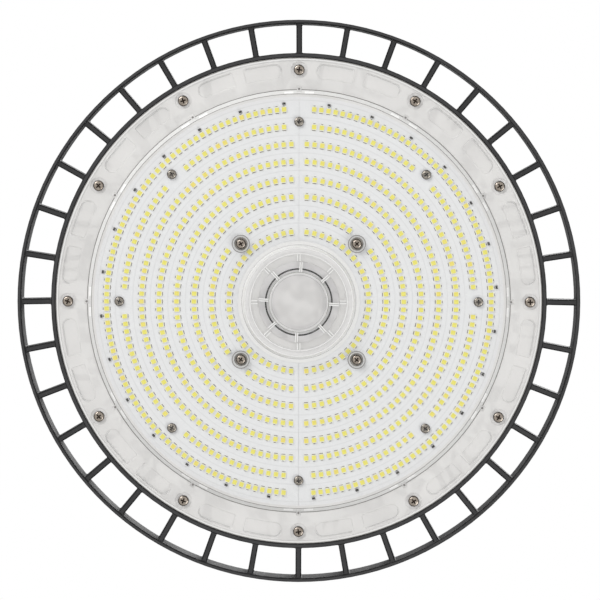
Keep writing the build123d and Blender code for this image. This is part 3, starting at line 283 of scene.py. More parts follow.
@dataclass(frozen=True)
class SolderMaskFinish(Finish):
    """White solder mask, screen printed over copper: satin, with the tracks just showing."""

    light: str = "#ebe9ea"
    dark: str = "#e5e3e5"
    track: str = "#dedcdd"
    roughness: float = 0.38
    first_row_mm: float = 40.0
    row_pitch_mm: float = 10.0
    track_mm: float = 0.5
    relief_mm: float = 0.02
    grain_mm: float = 0.9

    def surface(self, tree: Tree) -> bpy.types.Node:
        """Adds the mask's tone, and a darker edge midway between the rows where the copper ends.

        Args:
            tree: the tree of the new material.

        Returns:
            The shader node to show.
        """
        place = add_node(tree, "TexCoord").outputs["Object"]
        grain = add_node(tree, "TexNoise", inputs={
            "Vector": place, "Scale": per_mm(self.grain_mm), "Detail": 3.0})
        base = add_node(tree, "Mix", {"data_type": "RGBA"}, {
            "Factor": grain, 6: linear(self.dark), 7: linear(self.light)})
        offset = add_node(tree, "Math", {"operation": "SUBTRACT"}, {
            0: distance_from_axis(tree, place), 1: (self.first_row_mm + self.row_pitch_mm / 2) * MM})
        share = add_node(tree, "Math", {"operation": "DIVIDE"}, {
            0: offset, 1: self.row_pitch_mm * MM})
        nearest = add_node(tree, "Math", {"operation": "PINGPONG"}, {0: share, 1: 0.5})
        edge = add_node(tree, "MapRange", inputs={
            "Value": nearest, "From Min": 0.0, "From Max": self.track_mm / self.row_pitch_mm,
            "To Min": 1.0, "To Max": 0.0})
        colour = add_node(tree, "Mix", {"data_type": "RGBA"}, {
            "Factor": edge, 6: base.outputs[2], 7: linear(self.track)})
        relief = add_node(tree, "Bump", inputs={
            "Strength": 1.0, "Distance": self.relief_mm * MM, "Height": edge})
        return add_node(tree, "BsdfPrincipled", inputs={
            "Base Color": colour.outputs[2], "Roughness": self.roughness, "Normal": relief})


SOLDER_MASK = SolderMaskFinish("solder_mask_white_printed")


@dataclass(frozen=True)
class PhosphorFinish(Finish):
    """Silicone filled with phosphor, dispensed: each LED has its own tone of yellow."""

    pale: str = "#f1e567"
    warm: str = "#f4dd6c"
    grain_mm: float = 0.12

    def surface(self, tree: Tree) -> bpy.types.Node:
        """Adds a tone for each island with a fine powder grain.

        Args:
            tree: the tree of the new material.

        Returns:
            The shader node to show.
        """
        place = add_node(tree, "TexCoord").outputs["Object"]
        grain = add_node(tree, "TexNoise", inputs={
            "Vector": place, "Scale": per_mm(self.grain_mm), "Detail": 2.0})
        island = add_node(tree, "NewGeometry").outputs["Random Per Island"]
        warmth = add_node(tree, "MapRange", {"interpolation_type": "SMOOTHSTEP"}, {
            "Value": island, "From Min": 0.78, "From Max": 1.05})
        colour = add_node(tree, "Mix", {"data_type": "RGBA"}, {
            "Factor": warmth, 6: linear(self.pale), 7: linear(self.warm)})
        powder = add_node(tree, "MapRange", inputs={"Value": grain, "To Min": 0.86, "To Max": 1.08})
        shaded = add_node(tree, "Mix", {"data_type": "RGBA", "blend_type": "MULTIPLY"}, {
            "Factor": 1.0, 6: colour.outputs[2], 7: powder})
        return add_node(tree, "BsdfPrincipled", inputs={
            "Base Color": shaded.outputs[2], "Roughness": 0.35,
            "Coat Weight": 0.3, "Coat Roughness": 0.1})


PHOSPHOR = PhosphorFinish("silicone_phosphor_dispensed")


@dataclass(frozen=True)
class CastingFinish(Finish):
    """The heat sink: powder coat outside, bare metal on the face that the lens covers."""

    face_radius_mm: float = 139.2
    face_top_mm: float = 16.9

    def surface(self, tree: Tree) -> bpy.types.Node:
        """Adds both finishes, parted by the masked face.

        Args:
            tree: the tree of the new material.

        Returns:
            The shader node to show.
        """
        place = add_node(tree, "TexCoord").outputs["Object"]
        height = add_node(tree, "SeparateXYZ", inputs={0: place}).outputs[2]
        within = add_node(tree, "Math", {"operation": "LESS_THAN"}, {
            0: distance_from_axis(tree, place), 1: self.face_radius_mm * MM})
        below = add_node(tree, "Math", {"operation": "LESS_THAN"}, {
            0: height, 1: self.face_top_mm * MM})
        masked = add_node(tree, "Math", {"operation": "MULTIPLY"}, {0: within, 1: below})
        return add_node(tree, "MixShader", inputs={
            0: masked, 1: POWDER_COAT.surface(tree), 2: BARE_CASTING.surface(tree)})


CASTING = CastingFinish("aluminium_cast_coated")


@dataclass(frozen=True)
class FrostRing:
    """A ring of a clear moulding with an etched face: its radii in millimetres and its strength.

    Radii alike but for their sign give a whole disc.
    """

    inner: float
    outer: float
    strength: float = 1.0


@dataclass(frozen=True)
class ClearFinish(Finish):
    """Polycarbonate, injection moulded: polished, with rings of the mould etched to a frost."""

    tint: str = "#f7f8f8"
    frost_tint: str = "#dddcda"
    shade: str = "#b4b4b4"
    cloud: str = "#d0cfce"
    rings: tuple[FrostRing, ...] = ()
    frost: float = 0.3
    milk: float = 0.5
    milk_roughness: float = 0.45
    ior: float = 1.586
    flow_mm: float = 30.0
    flow_relief_mm: float = 0.02
    edge_mm: float = 0.45

    def frosted(self, tree: Tree, radius: Socket) -> Socket:
        """Adds the nodes that tell the frosted rings from the polished ones.

        Args:
            tree: the tree of the new material.
            radius: the distance from the light's axis.

        Returns:
            The strength of the frost, which is zero on polished faces.
        """
        shares = []
        for ring in self.rings:
            middle, half = (ring.inner + ring.outer) / 2 * MM, (ring.outer - ring.inner) / 2 * MM
            within = add_node(tree, "Math", {"operation": "COMPARE"}, {0: radius, 1: middle, 2: half})
            shares.append(add_node(tree, "Math", {"operation": "MULTIPLY"}, {
                0: within, 1: ring.strength}).outputs[0])
        return any_of(tree, *shares)

    def surface(self, tree: Tree) -> bpy.types.Node:
        """Adds clear glass with milky frosted rings. Lamps shine through it, and eyes see it bend.

        Args:
            tree: the tree of the new material.

        Returns:
            The shader node to show.
        """
        place = add_node(tree, "TexCoord").outputs["Object"]
        frosted = self.frosted(tree, distance_from_axis(tree, place))
        gloss = add_node(tree, "Math", {"operation": "MULTIPLY"}, {0: frosted, 1: self.frost})
        flow = add_node(tree, "TexNoise", inputs={
            "Vector": place, "Scale": per_mm(self.flow_mm), "Detail": 1.0})
        rounded = add_node(tree, "Bevel", {"samples": 6}, {"Radius": self.edge_mm * MM})
        relief = add_node(tree, "Bump", inputs={
            "Strength": 1.0, "Distance": self.flow_relief_mm * MM, "Height": flow,
            "Normal": rounded})
        clear = add_node(tree, "BsdfPrincipled", inputs={
            "Base Color": linear(self.tint), "Roughness": gloss,
            "Transmission Weight": 1.0, "IOR": self.ior, "Normal": relief})
        depth = add_node(tree, "MapRange", inputs={
            "Value": flow, "From Min": 0.4, "From Max": 0.65})
        haze = add_node(tree, "Mix", {"data_type": "RGBA"}, {
            "Factor": depth, 6: linear(self.frost_tint), 7: linear(self.cloud)})
        milky = add_node(tree, "BsdfPrincipled", inputs={
            "Base Color": haze.outputs[2], "Roughness": self.milk_roughness,
            "Normal": relief})
        share = add_node(tree, "Math", {"operation": "MULTIPLY"}, {0: frosted, 1: self.milk})
        face = add_node(tree, "MixShader", inputs={0: share, 1: clear, 2: milky})
        passed = add_node(tree, "Mix", {"data_type": "RGBA"}, {
            "Factor": share, 6: linear(self.tint), 7: linear(self.shade)})
        lamps = add_node(tree, "BsdfTransparent", inputs={"Color": passed.outputs[2]})
        rays = add_node(tree, "LightPath").outputs
        passing = any_of(tree, rays["Is Shadow Ray"], rays["Is Diffuse Ray"], rays["Is Glossy Ray"])
        return add_node(tree, "MixShader", inputs={0: passing, 1: face, 2: lamps})


# The port's collar, the step and the whole flange are frosted, so that they glow softly
LENS = ClearFinish("polycarbonate_clear_moulded", frost_tint="#cecdcc", cloud="#c7c6c5",
                   shade="#fcfcfc", milk=0.82,
                   rings=(FrostRing(20.2, 27.4, 0.95), FrostRing(27.4, 32.9, 0.75),
                          FrostRing(116.8, 139.5)))
# The cap's disc is frosted to hide the sensor, and its ribbed ring is only hazy
PORT_CAP = ClearFinish("polycarbonate_cap_moulded", frost_tint="#d6d4d5", cloud="#c2c0c1",
                       shade="#d8d8d8", frost=0.4, milk=0.55, flow_mm=9.0, rings=(
                           FrostRing(-16.4, 16.4), FrostRing(17.2, 18.45, 0.8), FrostRing(19.3, 23.2)))


@dataclass(frozen=True)
class PaintedLightFinish(Finish):
    """Painted light or shade on a clear moulding: a flat tone that stands in for a highlight, glint or
    shade line at a rounded edge, and lamps shine through it.
    """

    light: str
    dark: str
    grain_mm: float = 0.8
    roughness: float = 0.45
    gloss_spread: float = 0.05

    def surface(self, tree: Tree) -> bpy.types.Node:
        """Adds the painted tone, softly varied, which casts no shadow.

        Args:
            tree: the tree of the new material.

        Returns:
            The shader node to show.
        """
        place = add_node(tree, "TexCoord").outputs["Object"]
        grain = add_node(tree, "TexNoise", inputs={
            "Vector": place, "Scale": per_mm(self.grain_mm), "Detail": 2.0})
        tone = add_node(tree, "Mix", {"data_type": "RGBA"}, {
            "Factor": grain, 6: linear(self.dark), 7: linear(self.light)})
        gloss = add_node(tree, "MapRange", inputs={
            "Value": grain, "To Min": self.roughness - self.gloss_spread,
            "To Max": self.roughness + self.gloss_spread})
        solid = add_node(tree, "BsdfPrincipled", inputs={
            "Base Color": tone.outputs[2], "Roughness": gloss})
        lamps = add_node(tree, "BsdfTransparent")
        return add_node(tree, "MixShader", inputs={
            0: add_node(tree, "LightPath").outputs["Is Shadow Ray"],
            1: solid, 2: lamps})


# Painted light and shade for the clear mouldings' rounded edges: painted highlights, a painted glint
# and soft painted light, and painted shade and shadow lines
PAINTED_HIGHLIGHT = PaintedLightFinish("polycarbonate_painted_highlight", "#e5e5e4", "#dddddc")
PAINTED_GLINT = PaintedLightFinish("polycarbonate_painted_glint", "#ffffff", "#f8f8f7", roughness=0.3)
PAINTED_SOFT_LIGHT = PaintedLightFinish("polycarbonate_painted_soft_light", "#d4d4d3", "#cdcdcc")
PAINTED_SHADE_LINE = PaintedLightFinish("polycarbonate_painted_shade_line", "#b5b5b4", "#a8a8a7")
PAINTED_SHADOW_LINE = PaintedLightFinish("polycarbonate_painted_shadow_line", "#7d7b79", "#6b6967")


@dataclass(frozen=True)
class FloorFinish(Finish):
    """Pale floor paint, rolled."""

    colour: str = "#e9e8e6"
    mottle_mm: float = 120.0

    def surface(self, tree: Tree) -> bpy.types.Node:
        """Adds a pale matt shader with a faint mottle.

        Args:
            tree: the tree of the new material.

        Returns:
            The shader node to show.
        """
        place = add_node(tree, "TexCoord").outputs["Object"]
        mottle = add_node(tree, "TexNoise", inputs={"Vector": place, "Scale": per_mm(self.mottle_mm)})
        gloss = add_node(tree, "MapRange", inputs={"Value": mottle, "To Min": 0.7, "To Max": 0.85})
        return add_node(tree, "BsdfPrincipled", inputs={
            "Base Color": linear(self.colour), "Roughness": gloss})


FLOOR_PAINT = FloorFinish("floor_paint_pale_rolled")


def dress(finish: Finish, *nodes: str) -> None:
    """Gives CAD nodes their finish.

    Args:
        finish: the finish that replaces their plain material.
        nodes: the nodes' names.
    """
    for node in nodes:
        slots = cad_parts[node].data.materials
        slots.clear()
        slots.append(finish.material())


def turns(count: int, offset: float = 0.0) -> list[float]:
    """Gives the angles in radians that part a full turn into equal steps, moved on by part of one."""
    return [2 * math.pi * (i + offset) / count for i in range(count)]


def polar(radius: float, angle: float, height: float = 0.0) -> Vector:
    """Places a point by its radius and angle about an upright axis, and its height."""
    return Vector((radius * math.cos(angle), radius * math.sin(angle), height))


def solids_of(node: str) -> Iterator[tuple[Vector, Vector]]:
    """Finds the separate solids of a CAD node, in the order of their first corners in its mesh.

    Args:
        node: the node's name.

    Yields:
        The lowest and highest corner of each solid.
    """
    shape = bmesh.new()
    shape.from_mesh(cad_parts[node].data)
    bmesh.ops.remove_doubles(shape, verts=shape.verts, dist=WELD_MM * MM)
    seen: set[bmesh.types.BMVert] = set()
    for start in shape.verts:
        if start in seen:
            continue
        waiting = [start]
        solid = {start}
        while waiting:
            corner = waiting.pop()
            for edge in corner.link_edges:
                other = edge.other_vert(corner)
                if other not in solid:
                    solid.add(other)
                    waiting.append(other)
        seen |= solid
        places = [corner.co for corner in solid]
        yield (Vector([min(p[i] for p in places) for i in range(3)]),
               Vector([max(p[i] for p in places) for i in range(3)]))
    shape.free()


def scene_object(name: str, data: bpy.types.ID) -> bpy.types.Object:
    """Makes an object of the given data and puts it into the scene."""
    made = bpy.data.objects.new(name, data)
    bpy.context.scene.collection.objects.link(made)
    return made


def mesh_object(name: str, shape: Shape, finishes: Sequence[Finish]) -> bpy.types.Object:
    """Makes an object from a mesh under construction.

    Args:
        name: the object's name.
        shape: its mesh, which is freed.
        finishes: its finishes, in the order of the faces' material indices.

    Returns:
        The new object.
    """
    mesh = bpy.data.meshes.new(name)
    shape.to_mesh(mesh)
    shape.free()
    for finish in finishes:
        mesh.materials.append(finish.material())
    return scene_object(name, mesh)


def new_piece(name: str, shape: Shape, finishes: Sequence[Finish], slot: str,
              *replaced: str) -> bpy.types.Object:
    """Makes a piece of the light from a mesh under construction.

    Args:
        name: the piece's name.
        shape: its mesh, which is freed.
        finishes: its finishes, in the order of the faces' material indices.
        slot: the name of a material slot for the piece; it is not used.
        replaced: the CAD nodes that it stands for.

    Returns:
        The piece, riding on the light's one body.
    """
    piece = mesh_object(name, shape, finishes)
    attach(piece, BODY)
    if replaced:
        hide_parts(*replaced)
    LOG.info("%s: %d faces", name, len(piece.data.polygons))
    return piece


def skin(shape: Shape, sections: Sequence[Sequence[bmesh.types.BMVert]],
         tone: int = 0) -> None:
    """Joins like sections into a closed solid, whose ends are the first and the last of them.

    Args:
        shape: the mesh that gets the faces.
        sections: each section's corners, in order round it.
        tone: the faces' material index.
    """
    faces = [shape.faces.new(sections[0]), shape.faces.new(list(reversed(sections[-1])))]
    for near, far in zip(sections, sections[1:]):
        for i in range(len(near)):
            j = (i + 1) % len(near)
            faces.append(shape.faces.new([near[j], near[i], far[i], far[j]]))
    for face in faces:
        face.material_index = tone


def revolve(shape: Shape, profile: Sequence[Point], segments: int, place: Matrix,
            tone: int = 0, looped: bool = False) -> None:
    """Turns a profile about an axis into a closed skin.

    Args:
        shape: the mesh that gets the skin.
        profile: radius and height of each point, in metres.
        segments: the number of steps round the axis.
        place: where the axis and its origin go.
        tone: the faces' material index.
        looped: whether the profile's end joins its start. If not, both lie on the axis.
    """
    rings = []
    for radius, height in profile:
        around = turns(segments) if radius else [0.0]
        rings.append([shape.verts.new(place @ polar(radius, turn, height)) for turn in around])
    if looped:
        rings.append(rings[0])
    for lower, upper in zip(rings, rings[1:]):
        for i in range(segments):
            j = (i + 1) % segments
            corners = dict.fromkeys([lower[i % len(lower)], lower[j % len(lower)],
                                     upper[j % len(upper)], upper[i % len(upper)]])
            if len(corners) > 2:
                shape.faces.new(list(corners)).material_index = tone


class Drive(Enum):
    """The recess in a screw's head."""

    CROSS = "cross"
    SOCKET = "socket"


@dataclass
class ScrewGroup:
    """Like screws of one CAD node, with rounded heads, drive recesses and plain shanks, their recesses
    and the steep rims of their heads in painted shade.

    A share is a part of the head's radius, or of its height where the name says so.
    """

    node: str
    finish: Finish
    slot: str
    head_height_mm: float
    shank_mm: float
    drive: Drive
    head_up: bool = False
    crown_mm: float = 0.5
    crown_bend: float = 0.8
    crown_height_share: float = 0.6
    crown_steps: int = 6
    rim_share: float = 0.3
    rim_height_share: float = 0.45
    rim_steps: int = 5
    seat_chamfer_mm: float = 0.1
    tip_chamfer_mm: float = 0.3
    recess_height_share: float = 0.7
    cutter_rise_mm: float = 0.5
    socket_share: float = 0.52
    arm_share: float = 0.6
    arm_half_share: float = 0.16
    cross_taper: float = 0.55
    drive_turn: float = 0.9
    # Faces of the head's rim steeper than this get the painted shade
    painted_shade_cosine: float = 0.72
    smooth_deg: float = 35.0
    segments: int = 40

    def profile(self, head: float, length: float) -> list[Point]:
        """Works out the screw's outline.

        Args:
            head: radius of the head.
            length: whole length of the screw.

        Returns:
            Points from the top of the head's crown to the shank's end, along the screw.
        """
        height, shank = self.head_height_mm * MM, self.shank_mm * MM
        seat, tip = self.seat_chamfer_mm * MM, self.tip_chamfer_mm * MM
        rim = self.rim_share * head
        points = [(0.0, 0.0)]
        for i in range(1, self.crown_steps + 1):
            bend = math.pi / 2 * i / self.crown_steps * self.crown_bend
            points.append(((head - rim) * i / self.crown_steps,
                           self.crown_mm * MM * (1 - math.cos(bend)) * self.crown_height_share))
        base = points[-1][1]
        for i in range(1, self.rim_steps + 1):
            bend = math.pi / 2 * i / self.rim_steps
            points.append((head - rim + rim * math.sin(bend),
                           base + height * self.rim_height_share * (1 - math.cos(bend))))
        points += [(head, height - seat), (head - seat, height), (shank, height),
                   (shank, length - tip), (shank - tip, length), (0.0, length)]
        return points

    def cutter(self, head: float, depth: float) -> Shape:
        """Makes the solid that cuts the drive recess: a hexagon, or a cross that tapers.

        Args:
            head: radius of the head.
            depth: how deep the recess goes.

        Returns:
            A closed mesh that stands on the head's face, in the screw's own frame.
        """
        if self.drive is Drive.SOCKET:
            outline = [polar(self.socket_share * head, turn).xy for turn in turns(6)]
            taper = 1.0
        else:
            arm, half = self.arm_share * head, self.arm_half_share * head
            outline = [(c * x - s * y, s * x + c * y) for c, s in ((1, 0), (0, 1), (-1, 0), (0, -1))
                       for x, y in ((arm, -half), (arm, half), (half, half))]
            taper = self.cross_taper
        shape = bmesh.new()
        skin(shape, [[shape.verts.new((x * share, y * share, z)) for x, y in outline]
                     for share, z in ((1.0, -self.cutter_rise_mm * MM), (taper, depth))])
        bmesh.ops.recalc_face_normals(shape, faces=shape.faces)
        return shape

    def one_screw(self, head: float, length: float) -> bpy.types.Mesh:
        """Makes one screw with its recess cut, and painted shade on the recess and on the steep rim of
        its head.

        Args:
            head: radius of the head.
            length: whole length of the screw.

        Returns:
            Its mesh, head at the origin and shank along +Z.
        """
        height = self.head_height_mm * MM
        body = bmesh.new()
        revolve(body, self.profile(head, length), self.segments, Matrix.Identity(4))
        bmesh.ops.recalc_face_normals(body, faces=body.faces)
        screw = mesh_object("screw_body", body, [self.finish])
        recess = mesh_object("screw_recess", self.cutter(head, self.recess_height_share * height),
                             [SCREW_PAINTED_SHADE])
        cut = screw.modifiers.new("recess", "BOOLEAN")
        cut.operation = "DIFFERENCE"
        cut.solver = "EXACT"
        cut.material_mode = "TRANSFER"
        cut.object = recess
        result = bpy.data.meshes.new_from_object(
            screw.evaluated_get(bpy.context.evaluated_depsgraph_get()))
        # Faces of the recess and the steep rim of the head get the painted shade
        kept = [material.name for material in result.materials]
        for face in result.polygons:
            rim = face.center.z < height and face.normal.z > -self.painted_shade_cosine
            face.material_index = int(rim or kept[face.material_index] == SCREW_PAINTED_SHADE.name)
        for part in (screw, recess):
            bpy.data.objects.remove(part)
        return result

    def build(self) -> bpy.types.Object:
        """Sets a screw on the place of each solid of the node and returns the group."""
        group = bmesh.new()
        pattern: Optional[bpy.types.Mesh] = None
        for low, high in solids_of(self.node):
            if pattern is None:
                pattern = self.one_screw((high.x - low.x) / 2, high.z - low.z)
            place = Matrix.Rotation(self.drive_turn * math.atan2(low.y, low.x), 4, "Z")
            axis = Vector(((low.x + high.x) / 2, (low.y + high.y) / 2, low.z))
            if self.head_up:
                axis.z = high.z
                place = Matrix.Rotation(math.pi, 4, "X") @ place
            before = len(group.verts)
            group.from_mesh(pattern)
            group.verts.ensure_lookup_table()
            bmesh.ops.transform(group, matrix=Matrix.Translation(axis) @ place,
                                verts=group.verts[before:])
        for face in group.faces:
            face.smooth = True
        sharp = math.radians(self.smooth_deg)
        for edge in group.edges:
            edge.smooth = len(edge.link_faces) == 2 and edge.calc_face_angle() < sharp
        return new_piece(self.node + "_detail", group, [self.finish, SCREW_PAINTED_SHADE], self.slot,
                         self.node)


@dataclass
class LedRow:
    """One ring of LED packages: a white body, a phosphor face and a solder pad at each end."""

    node: str
    length_mm: float = 3.5
    width_mm: float = 2.8
    end_mm: float = 0.4
    side_mm: float = 0.12
    draft_mm: float = 0.02
    recess_mm: float = 0.06
    recess_draft_mm: float = 0.04
    corner_mm: float = 0.25
    fillet_mm: float = 0.42
    fillet_rise_mm: float = 0.35
    fillet_overlap_mm: float = 0.05
    cathode_mm: float = 2.1
    anode_mm: float = 1.2
    finishes: tuple[Finish, ...] = (LED_BODY, PHOSPHOR, SOLDER)
    shape: Shape = field(default_factory=bmesh.new)

    def ring(self, place: Matrix, end: float, side: float,
             height: float) -> list[bmesh.types.BMVert]:
        """Adds an oblong ring with cut corners.

        Args:
            place: the package's place, +X outward.
            end: how far it lies within the package's ends, in millimetres.
            side: how far it lies within the package's sides, in millimetres.
            height: its height in metres.

        Returns:
            Its corners.
        """
        cut = self.corner_mm * MM
        x, y = self.length_mm * MM / 2 - end * MM, self.width_mm * MM / 2 - side * MM
        outline = [(x, -y + cut), (x, y - cut), (x - cut, y), (-x + cut, y),
                   (-x, y - cut), (-x, -y + cut), (-x + cut, -y), (x - cut, -y)]
        return [self.shape.verts.new(place @ Vector((px, py, height))) for px, py in outline]

    def package(self, place: Matrix, height: float) -> None:
        """Adds one package, its face towards -Z.

        Args:
            place: the package's place, +X outward.
            height: how far it stands from the board.
        """
        bottom = (self.end_mm + self.recess_draft_mm, self.side_mm + self.recess_draft_mm,
                  -height + self.recess_mm * MM)
        rings = [self.ring(place, *sizes) for sizes in (
            (0.0, 0.0, 0.0), (self.draft_mm, self.draft_mm, -height),
            (self.end_mm, self.side_mm, -height), bottom)]
        for lower, upper in zip(rings, rings[1:]):
            for i in range(len(lower)):
                j = (i + 1) % len(lower)
                self.shape.faces.new([lower[j], lower[i], upper[i], upper[j]])
        self.shape.faces.new(rings[0])
        face = self.shape.faces.new(list(reversed(self.ring(place, *bottom))))
        face.material_index = self.finishes.index(PHOSPHOR)
        self.solder(place, -1, self.cathode_mm * MM)
        self.solder(place, 1, self.anode_mm * MM)

    def solder(self, place: Matrix, side: int, pad: float) -> None:
        """Adds the sloping solder fillet at one end of a package.

        Args:
            place: the package's place, +X outward.
            side: which end, -1 for the inner one.
            pad: the fillet's width.
        """
        end = self.length_mm * MM / 2
        near, far = side * (end - self.fillet_overlap_mm * MM), side * (end + self.fillet_mm * MM)
        outline = ((near, 0), (near, -self.fillet_rise_mm * MM), (far, 0))
        skin(self.shape, [[self.shape.verts.new(place @ Vector((x, y, z))) for x, z in outline]
                     for y in (-pad / 2, pad / 2)], self.finishes.index(SOLDER))

    def build(self) -> bpy.types.Object:
        """Sets a package on the place of each solid of the node and returns the row."""
        low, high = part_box(self.node)
        for solid_low, solid_high in solids_of(self.node):
            centre = (solid_low + solid_high) / 2
            turn = Matrix.Rotation(math.atan2(centre.y, centre.x), 4, "Z")
            centre.z = high.z
            self.package(Matrix.Translation(centre) @ turn, high.z - low.z)
        bmesh.ops.recalc_face_normals(self.shape, faces=self.shape.faces)
        return new_piece(self.node + "_detail", self.shape, self.finishes, "led_phosphor", self.node)


@dataclass
class LightEngine:
    """Boards, LEDs and chips behind the lens."""

    rows: int = 8

    def build(self) -> None:
        """Dresses the boards and chips and builds the LED rows."""
        dress(SOLDER_MASK, "led_board_left", "led_board_right")
        dress(BLACK_EPOXY, "board_chips")
        for number in range(1, self.rows + 1):
            LedRow(f"led_row_{number}").build()
        ScrewGroup("board_screws", PLATED_STEEL, "plated_steel", 2.0, 1.5, Drive.CROSS).build()


class PaintedTone(Enum):
    """Which painted highlight, glint, soft light, shade line or shadow line a piece on a clear moulding
    carries, by its place among the finishes.
    """

    LIT = 0
    SOFT_LIGHT = 1
    SHADE_LINE = 2
    SHADOW_LINE = 3
    GLINT = 4


@dataclass(frozen=True)
class Band:
    """A thin ring of painted highlight or painted shade on a clear moulding, in millimetres: radii,
    height at its inner edge, and how far its outer edge lies above that."""

    inner: float
    outer: float
    front: float
    edge: PaintedTone
    fall: float = 0.0
    thickness: float = 0.12


@dataclass(frozen=True)
class RibSet:
    """Painted highlights and shade lines on the tops of one moulding's radial ribs: radii, width and
    height, in millimetres.
    """

    inner: float
    outer: float
    width: float
    top: float
    turn_deg: float = 0.0
    fillet: float = 0.45
    thickness: float = 0.12


@dataclass(frozen=True)
class PocketLine:
    """A painted shade line along the edge of the flange's oblong pockets, in millimetres, and in
    degrees from a sector's middle.

    It runs along the outer side and round the end, and stops where it turns inwards.
    """

    sectors: int = 12
    middle: float = 131.85
    end: float = 3.55
    start_deg: float = 1.9
    stop_deg: float = 8.94
    sweep_deg: float = 95.0
    width: float = 0.3
    front: float = 8.79
    thickness: float = 0.12
    steps: int = 10
    edge: PaintedTone = PaintedTone.SHADE_LINE

    def path(self, turn: float, side: int) -> list[Vector]:
        """Works out the line's course on one pocket.

        Args:
            turn: the angle of the sector's middle in radians.
            side: on which side of the middle the pocket lies, 1 or -1.

        Returns:
            Its points, in metres, at height zero.
        """
        def at(radius: float, degrees: float) -> Vector:
            """Places a point by its radius and its angle from the sector's middle."""
            return polar(radius * MM, turn + side * math.radians(degrees))

        span = self.stop_deg - self.start_deg
        outer = [at(self.middle + self.end, self.start_deg + span * i / self.steps)
                 for i in range(self.steps)]
        centre = at(self.middle, self.stop_deg)
        return outer + [centre + at(self.end, self.stop_deg + self.sweep_deg * i / self.steps)
                        for i in range(self.steps + 1)]


